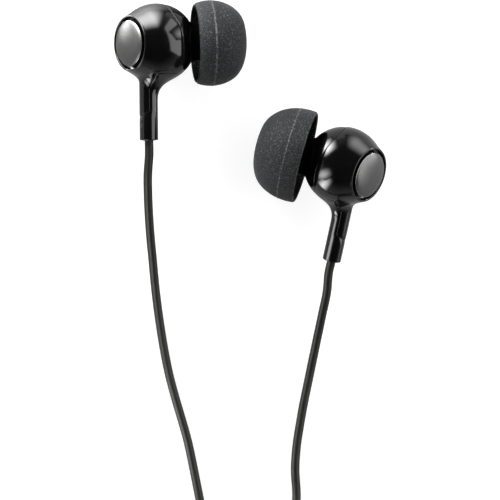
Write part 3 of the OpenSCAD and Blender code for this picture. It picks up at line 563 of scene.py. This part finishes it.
# the seam: an arc over the ball, a level step under it, and a slant that meets the stem's axis;
# the skin of each half dips towards it, that of the front half the most
SEAM_R = 11
SEAM_CENTRE = (-7.5, -1)
SEAM_STEP = -4.75
SEAM_FOOT = -6.75
SEAM_GAP = 0.03
SEAM_DIP_REAR = 0.015
SEAM_DIP_FRONT = 0.06
SEAM_DIP_WIDTH = 0.38

# the flare: where it starts on the stem, how softly it flows into the ball and how much softer
# at the front, and where the stem ends in the ball
FLARE_FOOT = -8.9
FLARE_SOFT = 1.7
FLARE_FRONT = 1.0
STEM_TOP = -2.5

# the skin's points round it, the tilts from the ball's foot between which they lie, and how near
# the edge one has to be to be moved onto it
SKIN_COLUMNS = 160
FLARE_TILT, BALL_TILT, TOP_TILT = 24, 38, 177.5
SNAP = 0.07

# the front half is open inside the nozzle; under the ledge of the opening the inner face of the
# rear half draws back: from what height, over what height, and how far, but not in the stem
NOZZLE_HOLE_R = 2
DRAW_FROM, DRAW_OVER, DRAW_BACK = 2.6, 1.6, 0.5
DRAW_ABOVE = -5

# the opening's own axes in its ball, as rows; the last one points out of it
opening_axes = {
    "left": np.array(turn(0, 90 + 0.5, 180 + 27.3)).T,
    "right": np.array(turn(0, 90 - 3.2, 180 + 29.5)).T,
}


def ball_distance(p, axes):
    """Distance from the ball, which rises to a low collar round its opening."""
    x, y, h = (p @ axes.T).T
    spread = np.degrees(np.arctan2(np.hypot(x, y), h)) - RIM_ANGLE
    rise = np.clip(1 - spread / COLLAR_SPREAD, 0, 1.2) ** 2
    return np.linalg.norm(p, axis=1) - BALL_R - RIM_RISE * rise


def in_stem(p):
    """Points of the earpiece as the stem sees them, with Z along its axis."""
    return (p - stem_foot) @ about_stem


def skin_distance(p, axes):
    """The ball and the stem, flowing into each other most softly at the front."""
    q = in_stem(p)
    round_stem = np.maximum(np.hypot(q[:, 0], q[:, 1]), 1e-9)
    stem = np.maximum(round_stem - STEM_R, q[:, 2] - STEM_TOP)
    ball = ball_distance(p, axes)
    soft = FLARE_SOFT + FLARE_FRONT * q[:, 0] / round_stem
    overlap = np.maximum(soft - np.abs(ball - stem), 0) / soft
    return np.minimum(ball, stem) - overlap ** 2 * soft / 4


def stem_x(z):
    """Where the stem's axis lies at a height."""
    lean = math.radians(STEM_TILT)
    return (STEM_SHIFT + z * math.sin(lean)) / math.cos(lean)


def seam_distance(p):
    """Distance from the seam in the plane of nozzle and stem, positive in the rear half."""
    x, z = p[:, 0], p[:, 2]
    upper = SEAM_R - np.hypot(x - SEAM_CENTRE[0], z - SEAM_CENTRE[1])
    step = np.array((stem_x(SEAM_STEP) + 1, SEAM_STEP))
    foot = np.array((stem_x(SEAM_FOOT), SEAM_FOOT))
    along = unit(step - foot)
    slant = along[0] * (z - foot[1]) - along[1] * (x - foot[0])
    down = -in_stem(p)[:, 0]
    return np.minimum(upper, np.maximum(np.maximum(z - SEAM_STEP, slant), down))


def slope_of(distance, p, step=1e-4):
    """The gradient of a distance at each point."""
    return np.stack([(distance(p + e) - distance(p - e)) / (2 * step) for e in np.eye(3) * step], 1)


def settle(distance, p, times=8):
    """Moves points along the gradient until they lie on the surface."""
    for _ in range(times):
        g = slope_of(distance, p)
        p = p - g * (distance(p) / np.maximum((g * g).sum(1), 1e-9))[:, None]
    return p


def skin_grid(skin):
    """The whole skin as rings from the stem's end, over the flare, to the top of the ball."""
    a = np.linspace(0, 2 * math.pi, SKIN_COLUMNS, endpoint=False)
    circle = np.stack((np.cos(a), np.sin(a), 0 * a), 1)

    def stem_ring(z):
        return (circle * STEM_R + (0, 0, z)) @ about_stem.T + stem_foot

    def ball_ring(tilt):
        return (circle * math.sin(tilt) + (0, 0, -math.cos(tilt))) * BALL_R

    rings = [stem_ring(z) for z in np.linspace(-STEM_END - 0.2, FLARE_FOOT, 26)]
    for t in np.linspace(0, 1, 24)[1:-1]:
        share = t ** 1.6
        rings.append(stem_ring(FLARE_FOOT + 1.6 * t) * (1 - share)
                     + ball_ring(math.radians(FLARE_TILT + (BALL_TILT - FLARE_TILT) * t)) * share)
    rings += [ball_ring(tilt) for tilt in np.radians(np.linspace(BALL_TILT, TOP_TILT, 56))]
    p = settle(skin, np.concatenate(rings))
    columns = [(j, (j + 1) % SKIN_COLUMNS) for j in range(SKIN_COLUMNS)]
    starts = range(0, len(p), SKIN_COLUMNS)
    faces = [[low + i, low + j, high + j, high + i]
             for low, high in zip(starts, starts[1:]) for i, j in columns]
    faces += [[starts[-1] + i, starts[-1] + j, len(p)] for i, j in columns]
    return np.concatenate((p, settle(skin, np.array([[0, 0, BALL_R]])))), faces


def trim(p, faces, skin, edge):
    """Keeps the part of the skin where edge() is positive, with its border exactly on the edge."""
    value, g, normal = edge(p), slope_of(edge, p), slope_of(skin, p)
    g -= normal * ((g * normal).sum(1) / (normal * normal).sum(1))[:, None]
    along = np.linalg.norm(g, axis=1)
    near = (np.abs(value) < SNAP) & (along > 0.3)

    def on_both(q):
        """Moves points until they lie on the skin and on the edge."""
        for _ in range(4):
            n, e = slope_of(skin, q), slope_of(edge, q)
            e -= n * ((e * n).sum(1) / (n * n).sum(1))[:, None]
            q = q - e * (edge(q) / np.maximum((e * e).sum(1), 0.05))[:, None]
            q = q - n * (skin(q) / (n * n).sum(1))[:, None]
        return q

    p = p.copy()
    if near.any():
        p[near] = on_both(p[near])
    value[near] = 0
    points, cuts, kept = list(p), {}, []
    for face in faces:
        if all(value[i] <= 0 for i in face):
            continue
        ring = []
        for i, j in zip(face, face[1:] + face[:1]):
            if value[i] >= 0:
                ring.append(i)
            if value[i] * value[j] < 0:
                key = (min(i, j), max(i, j))
                if key not in cuts:
                    t = value[i] / (value[i] - value[j])
                    cuts[key] = len(points)
                    points.append(p[i] * (1 - t) + p[j] * t)
                ring.append(cuts[key])
        if len(ring) > 2:
            kept.append(ring)
    points = np.array(points)
    if cuts:
        new = list(cuts.values())
        points[new] = on_both(points[new])
    used = sorted({i for face in kept for i in face})
    place = {old: new for new, old in enumerate(used)}
    return points[used], [[place[i] for i in face] for face in kept]


def housing_half(side, rear):
    """One half of the housing: the trimmed skin, its rolled edges and its inner face."""
    axes = opening_axes[side]
    sign, dip = (1, SEAM_DIP_REAR) if rear else (-1, SEAM_DIP_FRONT)

    def skin(p):
        return (skin_distance(p, axes)
                + dip * np.exp(-(seam_distance(p) / SEAM_DIP_WIDTH) ** 2))

    def seam(p):
        return sign * seam_distance(p) - SEAM_GAP / 2 - EDGE_R

    def foot(p):
        return in_stem(p)[:, 2] + STEM_END - EDGE_R

    def mouth(p):
        """The opening of the rear half, or the hole of the front half inside the nozzle."""
        if rear:
            return RIM_HEIGHT - 0.1 - p @ axes[2]
        return np.where(p[:, 0] > 0, np.hypot(p[:, 1], p[:, 2]) - NOZZLE_HOLE_R, BALL_R)

    p, faces = skin_grid(skin)
    for edge in (foot, mouth, seam):
        p, faces = trim(p, faces, skin, edge)
    normal = slope_of(skin, p)
    normal /= np.linalg.norm(normal, axis=1)[:, None]
    directed = {(i, j) for face in faces for i, j in zip(face, face[1:] + face[:1])}
    border = [(i, j) for i, j in directed if (j, i) not in directed]
    at_opening = np.abs(mouth(p)) < 1e-3 if rear else np.zeros(len(p), bool)
    outward = np.zeros_like(p)
    for edge in (foot, mouth, seam):
        g = slope_of(edge, p)
        g -= normal * (g * normal).sum(1)[:, None]
        g /= np.maximum(np.linalg.norm(g, axis=1), 1e-9)[:, None]
        outward -= g * (np.abs(edge(p)) < 2e-3)[:, None]
    outward /= np.maximum(np.linalg.norm(outward, axis=1), 1e-9)[:, None]

    inner = p - normal * WALL
    if rear:
        drawn = np.clip((p @ axes[2] - DRAW_FROM) / DRAW_OVER, 0, 1)
        drawn[in_stem(p)[:, 2] <= DRAW_ABOVE] = 0
        inner -= axes[2] * (drawn * DRAW_BACK)[:, None]
    vertices = [p, inner]
    count = len(p)
    polygons = list(faces) + [[count + i for i in face[::-1]] for face in faces]

    def add_rows(edges, rows):
        """Strips along border edges, from the skin over the rows to the inner face."""
        members = sorted({i for pair in edges for i in pair})
        order = {v: k for k, v in enumerate(members)}
        start = sum(len(v) for v in vertices)
        levels = [np.array(members)]
        for row in rows(np.array(members)):
            vertices.append(row)
            levels.append(start + np.arange(len(members)))
            start += len(members)
        levels.append(count + np.array(members))
        for low, high in zip(levels, levels[1:]):
            for i, j in edges:
                polygons.append([low[order[j]], low[order[i]], high[order[i]], high[order[j]]])

    def rolled(members):
        """A small round edge, and the cut face of the wall below it."""
        q, n, b = p[members], normal[members], outward[members]
        rows = [q - n * EDGE_R * (1 - math.cos(t)) + b * EDGE_R * math.sin(t)
                for t in np.radians((22.5, 45, 67.5, 90))]
        return rows + [q - n * (WALL - 0.02) + b * EDGE_R]

    def lipped(members):
        """The collar's lip, the opening's bore and the ledge for the cap."""
        x, y, _ = (p[members] @ axes.T).T
        a = np.arctan2(y, x)
        return [np.stack(((OPENING_R + o) * np.cos(a), (OPENING_R + o) * np.sin(a), 0 * a + h), 1)
                @ axes for o, h in LIP_PROFILE]

    add_rows([pair for pair in border if not at_opening[pair[0]]], rolled)
    if rear:
        add_rows([pair for pair in border if at_opening[pair[0]]], lipped)
    return np.concatenate(vertices), polygons


# polished ABS: almost black, a mirror skin with faint waves 2 mm long and fine rub marks that
# dull it here and there
polished_abs, tree, spot = material("polished_black_abs")
rub = add(tree, "TexNoise", Vector=spot, Scale=1 / (3 * MM), Detail=5, Roughness=0.65)
rough = add(tree, "MapRange", Value=rub, From_Min=0.3, From_Max=0.7, To_Min=0.1, To_Max=0.17)
waves = add(tree, "TexNoise", Vector=spot, Scale=1 / (2 * MM), Detail=1)
bump = add(tree, "Bump", Strength=0.05, Distance=0.02 * MM, Height=waves)
colour = add(tree, "Mix", {"data_type": "RGBA"}, Factor=rub, _6=linear("#050505"),
             _7=linear("#0b0b0c"))
skin = add(tree, "BsdfPrincipled", Base_Color=colour.outputs[2], Roughness=rough, IOR=1.54,
           Normal=bump)
add(tree, "OutputMaterial", Surface=skin)

# the nozzle: a collar on the ball, a neck, and a lip that keeps the tip on
nozzle, nozzle_faces = lathe(rounded([
    (1.5, 4.6), (3.2, 4.6), (3.05, 5.3), (2.86, 5.55), (2.8, 5.9), (2.8, 7, 0.15), (2.05, 7, 0.1),
    (2.05, 10.3, 0.1), (2.3, 10.6, 0.1), (2.3, 11.35, 0.15), (2.05, 11.6, 0.15),
    (1.8, 11.6, 0.05), (1.8, 11.22), (1.5, 11.22),
]), 96)

# two raised dots on the rear of the stem, to be felt
DOT_R = 0.32
DOT_DEPTH = 0.2
DOT_PITCH = 1.1
DOT_RISE = 2.2
about_dots = np.array(turn(0, 0, 205))
dot, dot_faces = lathe([(DOT_R * math.sin(t), DOT_R * math.cos(t))
                        for t in np.linspace(0, math.pi * 0.6, 9)], 24, closed=False)
side_dots = []
for i in (0, 1):
    centre = (STEM_R - DOT_DEPTH, 0, DOT_PITCH * i + DOT_RISE - STEM_END)
    side_dots.append(((dot @ about_nozzle.T + centre) @ about_dots.T @ about_stem.T + stem_foot,
                      [face[::-1] for face in dot_faces]))

for side in earpieces:
    rear = placed_object(f"{side}_rear_half", side, [housing_half(side, True), *side_dots],
                         polished_abs, 50)
    front = placed_object(f"{side}_front_half", side,
                          [housing_half(side, False), (nozzle @ about_nozzle.T, nozzle_faces)],
                          polished_abs, 50)
    for piece, node in ((rear, "rear_housing"), (front, "front_housing")):
        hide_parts(f"{side}_{node}")
        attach(piece, "earphones")


# ---- Rear caps
# A round, slightly domed cap closes the rear of each ball. It is moulded from black ABS with a
# smoke-grey vacuum-metallised face, and stands on a ledge with an open groove all round.

CAP_R = 3.45
CAP_FOOT = 4.12
CAP_EDGE = 5.1
CAP_DOME = 0.62
FACE_ANGLE = 0.32
# the heights between which, and the width within which, the cap's edge carries the painted
# highlight
BRIGHT_FROM, BRIGHT_TO = 5, 5.12
BRIGHT_WIDTH = 0.13

# smoked satin metallising: a dark brushed mirror that blurs what it reflects
metallised, tree, spot = material("smoked_metallised_plastic")
haze = add(tree, "TexNoise", Vector=spot, Scale=1 / (1.5 * MM), Detail=4)
patterned_skin(tree, haze, ("#5e5e5e", "#686867"), (0.33, 0.4), Metallic=1.0)

# the same metallising, polished and painted paler on a thin band at the cap's edge: a painted
# highlight, a bright hairline round its face
painted_edge_highlight, tree, spot = material("cap_edge_painted_highlight")
haze = add(tree, "TexNoise", Vector=spot, Scale=1 / (0.6 * MM), Detail=3)
rough = add(tree, "MapRange", Value=haze, To_Min=0.1, To_Max=0.2)
skin = add(tree, "BsdfPrincipled", Base_Color=linear("#a3a2a0"), Metallic=1.0, Roughness=rough)
add(tree, "OutputMaterial", Surface=skin)

cap_foot = rounded([
    (0, 4.6), (2.9, 4.6, 0.1), (3, CAP_FOOT, 0.05), (CAP_R, CAP_FOOT, 0.08),
    (CAP_R, BRIGHT_FROM), (CAP_R, CAP_EDGE - 0.02, 0.05),
])
cap_face = [(CAP_R * math.cos(t), CAP_EDGE + CAP_DOME * math.sin(t) ** 1.4)
            for t in np.linspace(FACE_ANGLE, math.pi / 2, 24)[:-1]]
shell, faces = lathe([*cap_foot, *cap_face, (0, CAP_EDGE + CAP_DOME)], 128, closed=False)

for side in earpieces:
    cap = placed_object(f"{side}_domed_cap", side, [(shell @ opening_axes[side], faces)],
                        metallised, 50)
    cap.data.materials.append(painted_edge_highlight)
    cap.data.materials.append(polished_abs)
    for polygon, ring in zip(cap.data.polygons, faces):
        x, y, h = shell[ring].mean(0)
        if h < BRIGHT_FROM:
            polygon.material_index = 2
        # painted highlight: the thin band at the edge takes the paler metallising
        elif h < BRIGHT_TO and math.hypot(x, y) > CAP_R - BRIGHT_WIDTH:
            polygon.material_index = 1
    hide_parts(f"{side}_rear_cap")
    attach(cap, "earphones")


# ---- Sound openings
# An etched stainless mesh closes the mouth of each nozzle, held on a ledge. A plug of open-cell
# foam behind it damps the treble.

MESH_GRAIN = 0.12 * MM
FOAM_CELL = 0.35 * MM


def dress(node, finish):
    """Gives a CAD node its finish."""
    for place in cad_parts[node].material_slots:
        place.material = finish


# etched stainless steel: a pale satin grey with the fine grain of rolled sheet
etched_steel, tree, spot = material("etched_stainless_steel")
grain = add(tree, "TexNoise", Vector=spot, Scale=1 / MESH_GRAIN, Detail=3)
patterned_skin(tree, grain, ("#8d8f91", "#b4b5b6"), (0.28, 0.45), Metallic=1.0)

# open-cell foam: dull charcoal, pitted all over by its cells, with painted shade darkening the
# hollow of each cell
cell_foam, tree, spot = material("open_cell_foam")
cell = add(tree, "TexVoronoi", {"feature": "DISTANCE_TO_EDGE"}, Vector=spot, Scale=1 / FOAM_CELL)
pit_and_painted_shade = add(tree, "MapRange", Value=cell.outputs["Distance"], From_Max=0.25)
# painted shade: the colour darkens from the cell walls into each cell's hollow
colour = add(tree, "Mix", {"data_type": "RGBA"}, Factor=pit_and_painted_shade, _6=linear("#44484a"),
             _7=linear("#17191a"))
bump = add(tree, "Bump", {"invert": True}, Strength=0.7, Distance=0.08 * MM, Height=pit_and_painted_shade)
skin = add(tree, "BsdfPrincipled", Base_Color=colour.outputs[2], Roughness=0.95, IOR=1.45,
           Normal=bump)
add(tree, "OutputMaterial", Surface=skin)

for side in earpieces:
    dress(f"{side}_nozzle_mesh", etched_steel)
    dress(f"{side}_damper", cell_foam)
    dress(f"{side}_gasket", cell_foam)


# ---- Drivers
# A dynamic driver fills the middle of each ball: a voice coil on a formed film dome moves in the
# gap between a magnet's top plate and a pressed steel yoke, all in a plastic frame with vents.

LATHE_MARK = 0.14 * MM
WIRE_PITCH = 0.1 * MM
FILM_RIB = 0.55 * MM
BOARD_FACE = -2.2


def along_and_round(tree, spot, side):
    """How far a spot lies along the axis of the earpiece's nozzle, and how far from it."""
    away = add(tree, "VectorMath", {"operation": "SUBTRACT"}, _0=spot,
               _1=placement[side].translation * MM)
    axis = placement[side].to_3x3() @ Vector((1, 0, 0))
    along = add(tree, "VectorMath", {"operation": "DOT_PRODUCT"}, _0=away, _1=axis)
    across = add(tree, "VectorMath", {"operation": "CROSS_PRODUCT"}, _0=away, _1=axis)
    length = add(tree, "VectorMath", {"operation": "LENGTH"}, _0=across)
    return along.outputs["Value"], length.outputs["Value"]


for side in earpieces:
    # pressed and turned steel: mid grey with faint rings left by the tool
    turned_steel, tree, spot = material(f"{side}_turned_steel")
    radius = along_and_round(tree, spot, side)[1]
    ring = add(tree, "TexNoise", {"noise_dimensions": "1D"}, W=radius, Scale=1 / LATHE_MARK,
               Detail=2)
    patterned_skin(tree, ring, ("#85878a", "#aeb0b2"), (0.22, 0.42), (0.2, 0.01), Metallic=1.0)
    for node in ("driver_cover", "top_plate", "yoke"):
        dress(f"{side}_{node}", turned_steel)

    # a coil of enamelled copper wire: reddish, with its turns side by side and painted shade
    # darkening the grooves between them; the real wire is 0.04 mm thick and is drawn coarser so
    # that the turns show
    wound_copper, tree, spot = material(f"{side}_wound_enamelled_copper")
    along = along_and_round(tree, spot, side)[0]
    phase = add(tree, "Math", {"operation": "MULTIPLY"}, _0=along, _1=2 * math.pi / WIRE_PITCH)
    wave = add(tree, "Math", {"operation": "SINE"}, _0=phase)
    turns = add(tree, "MapRange", Value=wave, From_Min=-1.0)
    # painted shade: the colour runs from dark brown in the grooves between turns to bright copper
    # on their crests
    patterned_skin(tree, turns, ("#5e2a14", "#c4693a"), 0.32, (0.6, 0.03), Metallic=0.9)
    dress(f"{side}_voice_coil", wound_copper)

    # hot-formed polyester film: amber and glossy, with shallow round ribs that stiffen it
    formed_film, tree, spot = material(f"{side}_formed_polyester_film")
    radius = along_and_round(tree, spot, side)[1]
    phase = add(tree, "Math", {"operation": "MULTIPLY"}, _0=radius, _1=2 * math.pi / FILM_RIB)
    rib = add(tree, "Math", {"operation": "SINE"}, _0=phase)
    rib = add(tree, "MapRange", Value=rib, From_Min=-1.0)
    patterned_skin(tree, rib, ("#a88a4e", "#c9ab6a"), 0.22, (0.3, 0.04), IOR=1.58)
    dress(f"{side}_diaphragm", formed_film)
    dress(f"{side}_surround", formed_film)

    # the board: glass fibre under green solder mask, with two bright tinned pads proud of it
    masked_board, tree, spot = material(f"{side}_solder_masked_board")
    along = along_and_round(tree, spot, side)[0]
    weave = add(tree, "TexVoronoi", {"distance": "CHEBYCHEV"}, Vector=spot, Scale=1 / (0.3 * MM))
    mask = add(tree, "Mix", {"data_type": "RGBA"}, Factor=weave.outputs["Distance"],
               _6=linear("#1f5c36"), _7=linear("#2f7a4c"))
    tinned = add(tree, "Math", {"operation": "LESS_THAN"}, _0=along, _1=(BOARD_FACE - 0.03) * MM)
    colour = add(tree, "Mix", {"data_type": "RGBA"}, Factor=tinned, _6=mask.outputs[2],
                 _7=linear("#b9bbbd"))
    rough = add(tree, "MapRange", Value=weave.outputs["Distance"], To_Min=0.3, To_Max=0.4)
    skin = add(tree, "BsdfPrincipled", Base_Color=colour.outputs[2], Metallic=tinned,
               Roughness=rough, IOR=1.5)
    add(tree, "OutputMaterial", Surface=skin)
    dress(f"{side}_terminal_board", masked_board)

# bright nickel plate: a warm mirror with a slight orange peel 0.4 mm across
nickel_plate, tree, spot = material("bright_nickel_plate")
peel = add(tree, "TexNoise", Vector=spot, Scale=1 / (0.4 * MM), Detail=2)
patterned_skin(tree, peel, ("#bdb8ad", "#d2cdc2"), (0.12, 0.24), (0.06, 0.01), Metallic=1.0)

# glass-filled nylon: dull dark grey, mottled by fibres 0.25 mm long
filled_nylon, tree, spot = material("glass_filled_nylon")
fibre = add(tree, "TexNoise", Vector=spot, Scale=1 / (0.25 * MM), Detail=3, Distortion=1.5)
patterned_skin(tree, fibre, ("#34373a", "#4e5255"), (0.45, 0.65), (0.15, 0.02), IOR=1.53)

# laid paper: off-white and quite matte, with tangled fibres about 0.2 mm wide
fibre_paper, tree, spot = material("fibrous_paper")
fibre = add(tree, "TexNoise", Vector=spot, Scale=1 / (0.2 * MM), Detail=5, Roughness=0.7,
            Distortion=2.0)
patterned_skin(tree, fibre, ("#c4bfb2", "#e4e0d5"), 0.9, (0.4, 0.03), IOR=1.45)

for side in earpieces:
    dress(f"{side}_magnet", nickel_plate)
    dress(f"{side}_driver_frame", filled_nylon)
    dress(f"{side}_vent_paper", fibre_paper)


# ---- Cord anchors
# The cord runs up the stem through a crimped, nickel-plated clamp that takes any pull. Above it
# the jacket is stripped, and two enamelled copper wires go on to the driver's board.

CORD_TOP = 6.4
CORD_FOOT = 14.95
JACKET_R = BRANCH_D / MM / 2
STRIP_R = 0.3

# enamelled copper: a red-brown varnish over bright metal, uneven every 0.5 mm or so
enamelled_copper, tree, spot = material("enamelled_copper_wire")
varnish = add(tree, "TexNoise", Vector=spot, Scale=1 / (0.5 * MM), Detail=2)
patterned_skin(tree, varnish, ("#8f4522", "#c26a3c"), (0.2, 0.35), Metallic=0.9)

for side in earpieces:
    dress(f"{side}_cord_clamp", nickel_plate)
    dress(f"{side}_wires", enamelled_copper)
    jacket, faces = lathe(rounded([
        (0, -CORD_FOOT), (JACKET_R, -CORD_FOOT, 0.05), (JACKET_R, -CORD_TOP, 0.16),
        (STRIP_R, -CORD_TOP, 0.05), (STRIP_R, -CORD_TOP - 0.2), (0, -CORD_TOP - 0.2),
    ]), 32, closed=False)
    inner_cord = placed_object(f"{side}_cord_in_stem", side,
                               [(jacket @ about_stem.T + stem_foot, faces)], cord_jacket, 40)
    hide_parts(f"{side}_inner_cord")
    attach(inner_cord, "earphones")


# ---- Y-split
# A small barrel of polished black ABS is moulded round the place where the two branch cords
# join. It tapers to the main cord, and a low lip stands round each branch cord.

SPLIT_R = 2.4
SPLIT_END_R = 1.7
SPLIT_LENGTH = 12
SPLIT_SHOULDER = 4.2
BRANCH_SPACING = 2.3
placement["split"] = Matrix.Translation((0, -84, 2.4)) @ turn(90, 0, 0).to_4x4()

barrel = lathe(rounded([
    (0, 0), (SPLIT_R, 0, 0.55), (SPLIT_R, SPLIT_SHOULDER, 1.5),
    (SPLIT_END_R, SPLIT_LENGTH - 0.6, 0.3), (SPLIT_END_R - 0.08, SPLIT_LENGTH, 0.45),
    (1.12, SPLIT_LENGTH, 0.05), (1.05, SPLIT_LENGTH - 0.25), (0, SPLIT_LENGTH - 0.25),
], 8), 96, closed=False)
lips = []
for at in (-BRANCH_SPACING / 2, BRANCH_SPACING / 2):
    lip, faces = lathe(rounded([
        (0.68, 0.3), (0.98, 0.3), (0.98, -0.16, 0.1), (0.68, -0.16, 0.06),
    ]), 40)
    lips.append((lip + (at, 0, 0), [face[::-1] for face in faces]))
split = placed_object("y_split_barrel", "split", [barrel, *lips], polished_abs, 40)
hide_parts("y_split")
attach(split, "earphones")


# ---- Coil ties
# Each coil of spare cord is held by a flat band of off-white paper. It is wrapped once round the
# turns and glued to itself.

TIE_THICKNESS = 0.3
TIE_WIDTH = 2.4
TIE_CORNER = 0.7
TIE_SLACK = 0.1
TIE_HEADROOM = 0.15


def tie_band(coil, angle):
    """A closed band round the coil's turns at one angle, with rounded corners."""
    centre, radius, d, turns = coil[0], coil[1] / MM, coil[2] / MM, coil[3]
    step = d + TURN_GAP / MM
    half = step * turns / 4 + d / 2 + TIE_SLACK + TIE_THICKNESS / 2
    low, high = TIE_THICKNESS / 2, step + d + TIE_HEADROOM + TIE_THICKNESS * 1.5
    loop = []
    for u, h, start in ((half, low, -90), (half, high, 0), (-half, high, 90), (-half, low, 180)):
        u -= math.copysign(TIE_CORNER, u)
        h += TIE_CORNER if h == low else -TIE_CORNER
        for a in np.radians(np.linspace(start, start + 90, 9)):
            loop.append((u, h, math.cos(a), math.sin(a)))
    points = []
    for u, h, nu, nh in loop:
        for out, side_way in ((0.5, -0.5), (0.5, 0.5), (-0.5, 0.5), (-0.5, -0.5)):
            reach = TIE_CORNER + out * TIE_THICKNESS
            points.append((radius + u + nu * reach, side_way * TIE_WIDTH, h + nh * reach))
    spin = np.array(turn(0, 0, angle))
    points = np.array(points) @ spin.T + np.array(centre) / MM
    count = len(loop)
    faces = [[4 * i + j, 4 * i + (j + 1) % 4, 4 * ((i + 1) % count) + (j + 1) % 4,
              4 * ((i + 1) % count) + j] for i in range(count) for j in range(4)]
    return points, faces


placement["table"] = Matrix.Identity(4)
ties = placed_object("coil_tie_bands", "table", [
    tie_band(left_coil, 270), tie_band(right_coil, 270), tie_band(main_coil, 0),
], fibre_paper, 40)
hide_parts("coil_ties")
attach(ties, "earphones")


# ---- Plug
# A straight 3.5 mm stereo plug: a ribbed soft strain relief, a polished ABS grip, and a shaft of
# three nickel-plated brass contacts round a rod, kept apart by black moulded insulators.

RELIEF_LENGTH = 6
RELIEF_RIBS = 4
RELIEF_R = (1.25, 1.9)
GRIP_R = 2.75
GRIP_LENGTH = 12.5
SHAFT_R = 1.75
SLEEVE_END = 7.6
RING_START, RING_END = 8.3, 10.3
HEAD_START = 11
ROD_R = 0.55
CORE_R = 0.8
BORE_GAP = 0.02
placement["plug"] = Matrix.Translation((-11.5, -142, 2.75)) @ turn(0, 90, 0).to_4x4()
placement["grip"] = placement["plug"] @ Matrix.Translation((0, 0, RELIEF_LENGTH))
placement["shaft"] = placement["grip"] @ Matrix.Translation((0, 0, GRIP_LENGTH))

rib_length = RELIEF_LENGTH / RELIEF_RIBS
relief = [(0, 0)]
for i in range(RELIEF_RIBS):
    r = RELIEF_R[0] + (RELIEF_R[1] - RELIEF_R[0]) * i / (RELIEF_RIBS - 1)
    relief += [(r, rib_length * i, 0.12), (r, rib_length * (i + 0.65), 0.14),
               (r - 0.25, rib_length * (i + 0.72), 0.05), (r - 0.25, rib_length * (i + 0.95), 0.05)]
relief += [(RELIEF_R[1] - 0.25, RELIEF_LENGTH), (0, RELIEF_LENGTH)]
grip = [
    (0, 0), (2.15, 0, 0.12), (GRIP_R, 0.8, 0.4), (GRIP_R, 1.9, 0.04), (GRIP_R - 0.12, 1.96, 0.04),
    (GRIP_R - 0.12, 2.24, 0.04), (GRIP_R, 2.3, 0.04), (GRIP_R, 12.1, 0.22),
    (2.35, GRIP_LENGTH, 0.1), (ROD_R + BORE_GAP, GRIP_LENGTH),
    (ROD_R + BORE_GAP, GRIP_LENGTH - 2.1), (0, GRIP_LENGTH - 2.1),
]


def contact_ring(inner_r, low, high):
    """The outline of a ring on the shaft, with its outer edges just broken."""
    return rounded([(inner_r, low), (SHAFT_R, low, 0.07), (SHAFT_R, high, 0.07), (inner_r, high)])


head = rounded([
    (0, -2), (ROD_R, -2), (ROD_R, HEAD_START), (SHAFT_R, HEAD_START, 0.07), (1.15, 11.6, 0.12),
    (1.15, 11.8, 0.12), (1.65, 12.5, 0.25), (1.5, 13, 0.2), (0.9, 13.75, 0.3), (0.4, 14, 0.12),
    (0, 14),
], 6)

# moulded insulator: matte black thermoplastic with a fine spark-eroded grain of 0.08 mm
moulded_insulator, tree, spot = material("moulded_black_insulator")
grain = add(tree, "TexNoise", Vector=spot, Scale=1 / (0.08 * MM), Detail=2)
patterned_skin(tree, grain, ("#0e0e0f", "#1b1b1c"), 0.5, (0.15, 0.01), IOR=1.5)

core, bore = ROD_R + BORE_GAP, CORE_R + BORE_GAP
for name, place, parts, finish, slot, node in (
    ("plug_strain_relief", "plug", [lathe(rounded(relief), 64, closed=False)], soft_tpe,
     "soft_plastic", "plug_relief"),
    ("plug_grip_barrel", "grip", [lathe(rounded(grip), 96, closed=False)], polished_abs,
     "housing", "plug_grip"),
    ("plug_sleeve_contact", "shaft", [lathe(contact_ring(bore, 0, SLEEVE_END), 96)],
     nickel_plate, "contact", "plug_sleeve"),
    ("plug_ring_contact", "shaft", [lathe(contact_ring(bore, RING_START, RING_END), 96)],
     nickel_plate, "contact", "plug_ring"),
    ("plug_tip_contact", "shaft", [lathe(head, 96, closed=False)], nickel_plate, "contact",
     "plug_tip"),
    ("plug_insulator_rings", "shaft", [
        lathe([(core, 0), (CORE_R, 0), (CORE_R, RING_END), (core, RING_END)], 64),
        lathe(contact_ring(core, SLEEVE_END, RING_START), 96),
        lathe(contact_ring(core, RING_END, HEAD_START), 96),
    ], moulded_insulator, "insulator", "plug_insulators"),
):
    piece = placed_object(name, place, parts, finish, 40)
    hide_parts(node)
    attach(piece, "earphones")
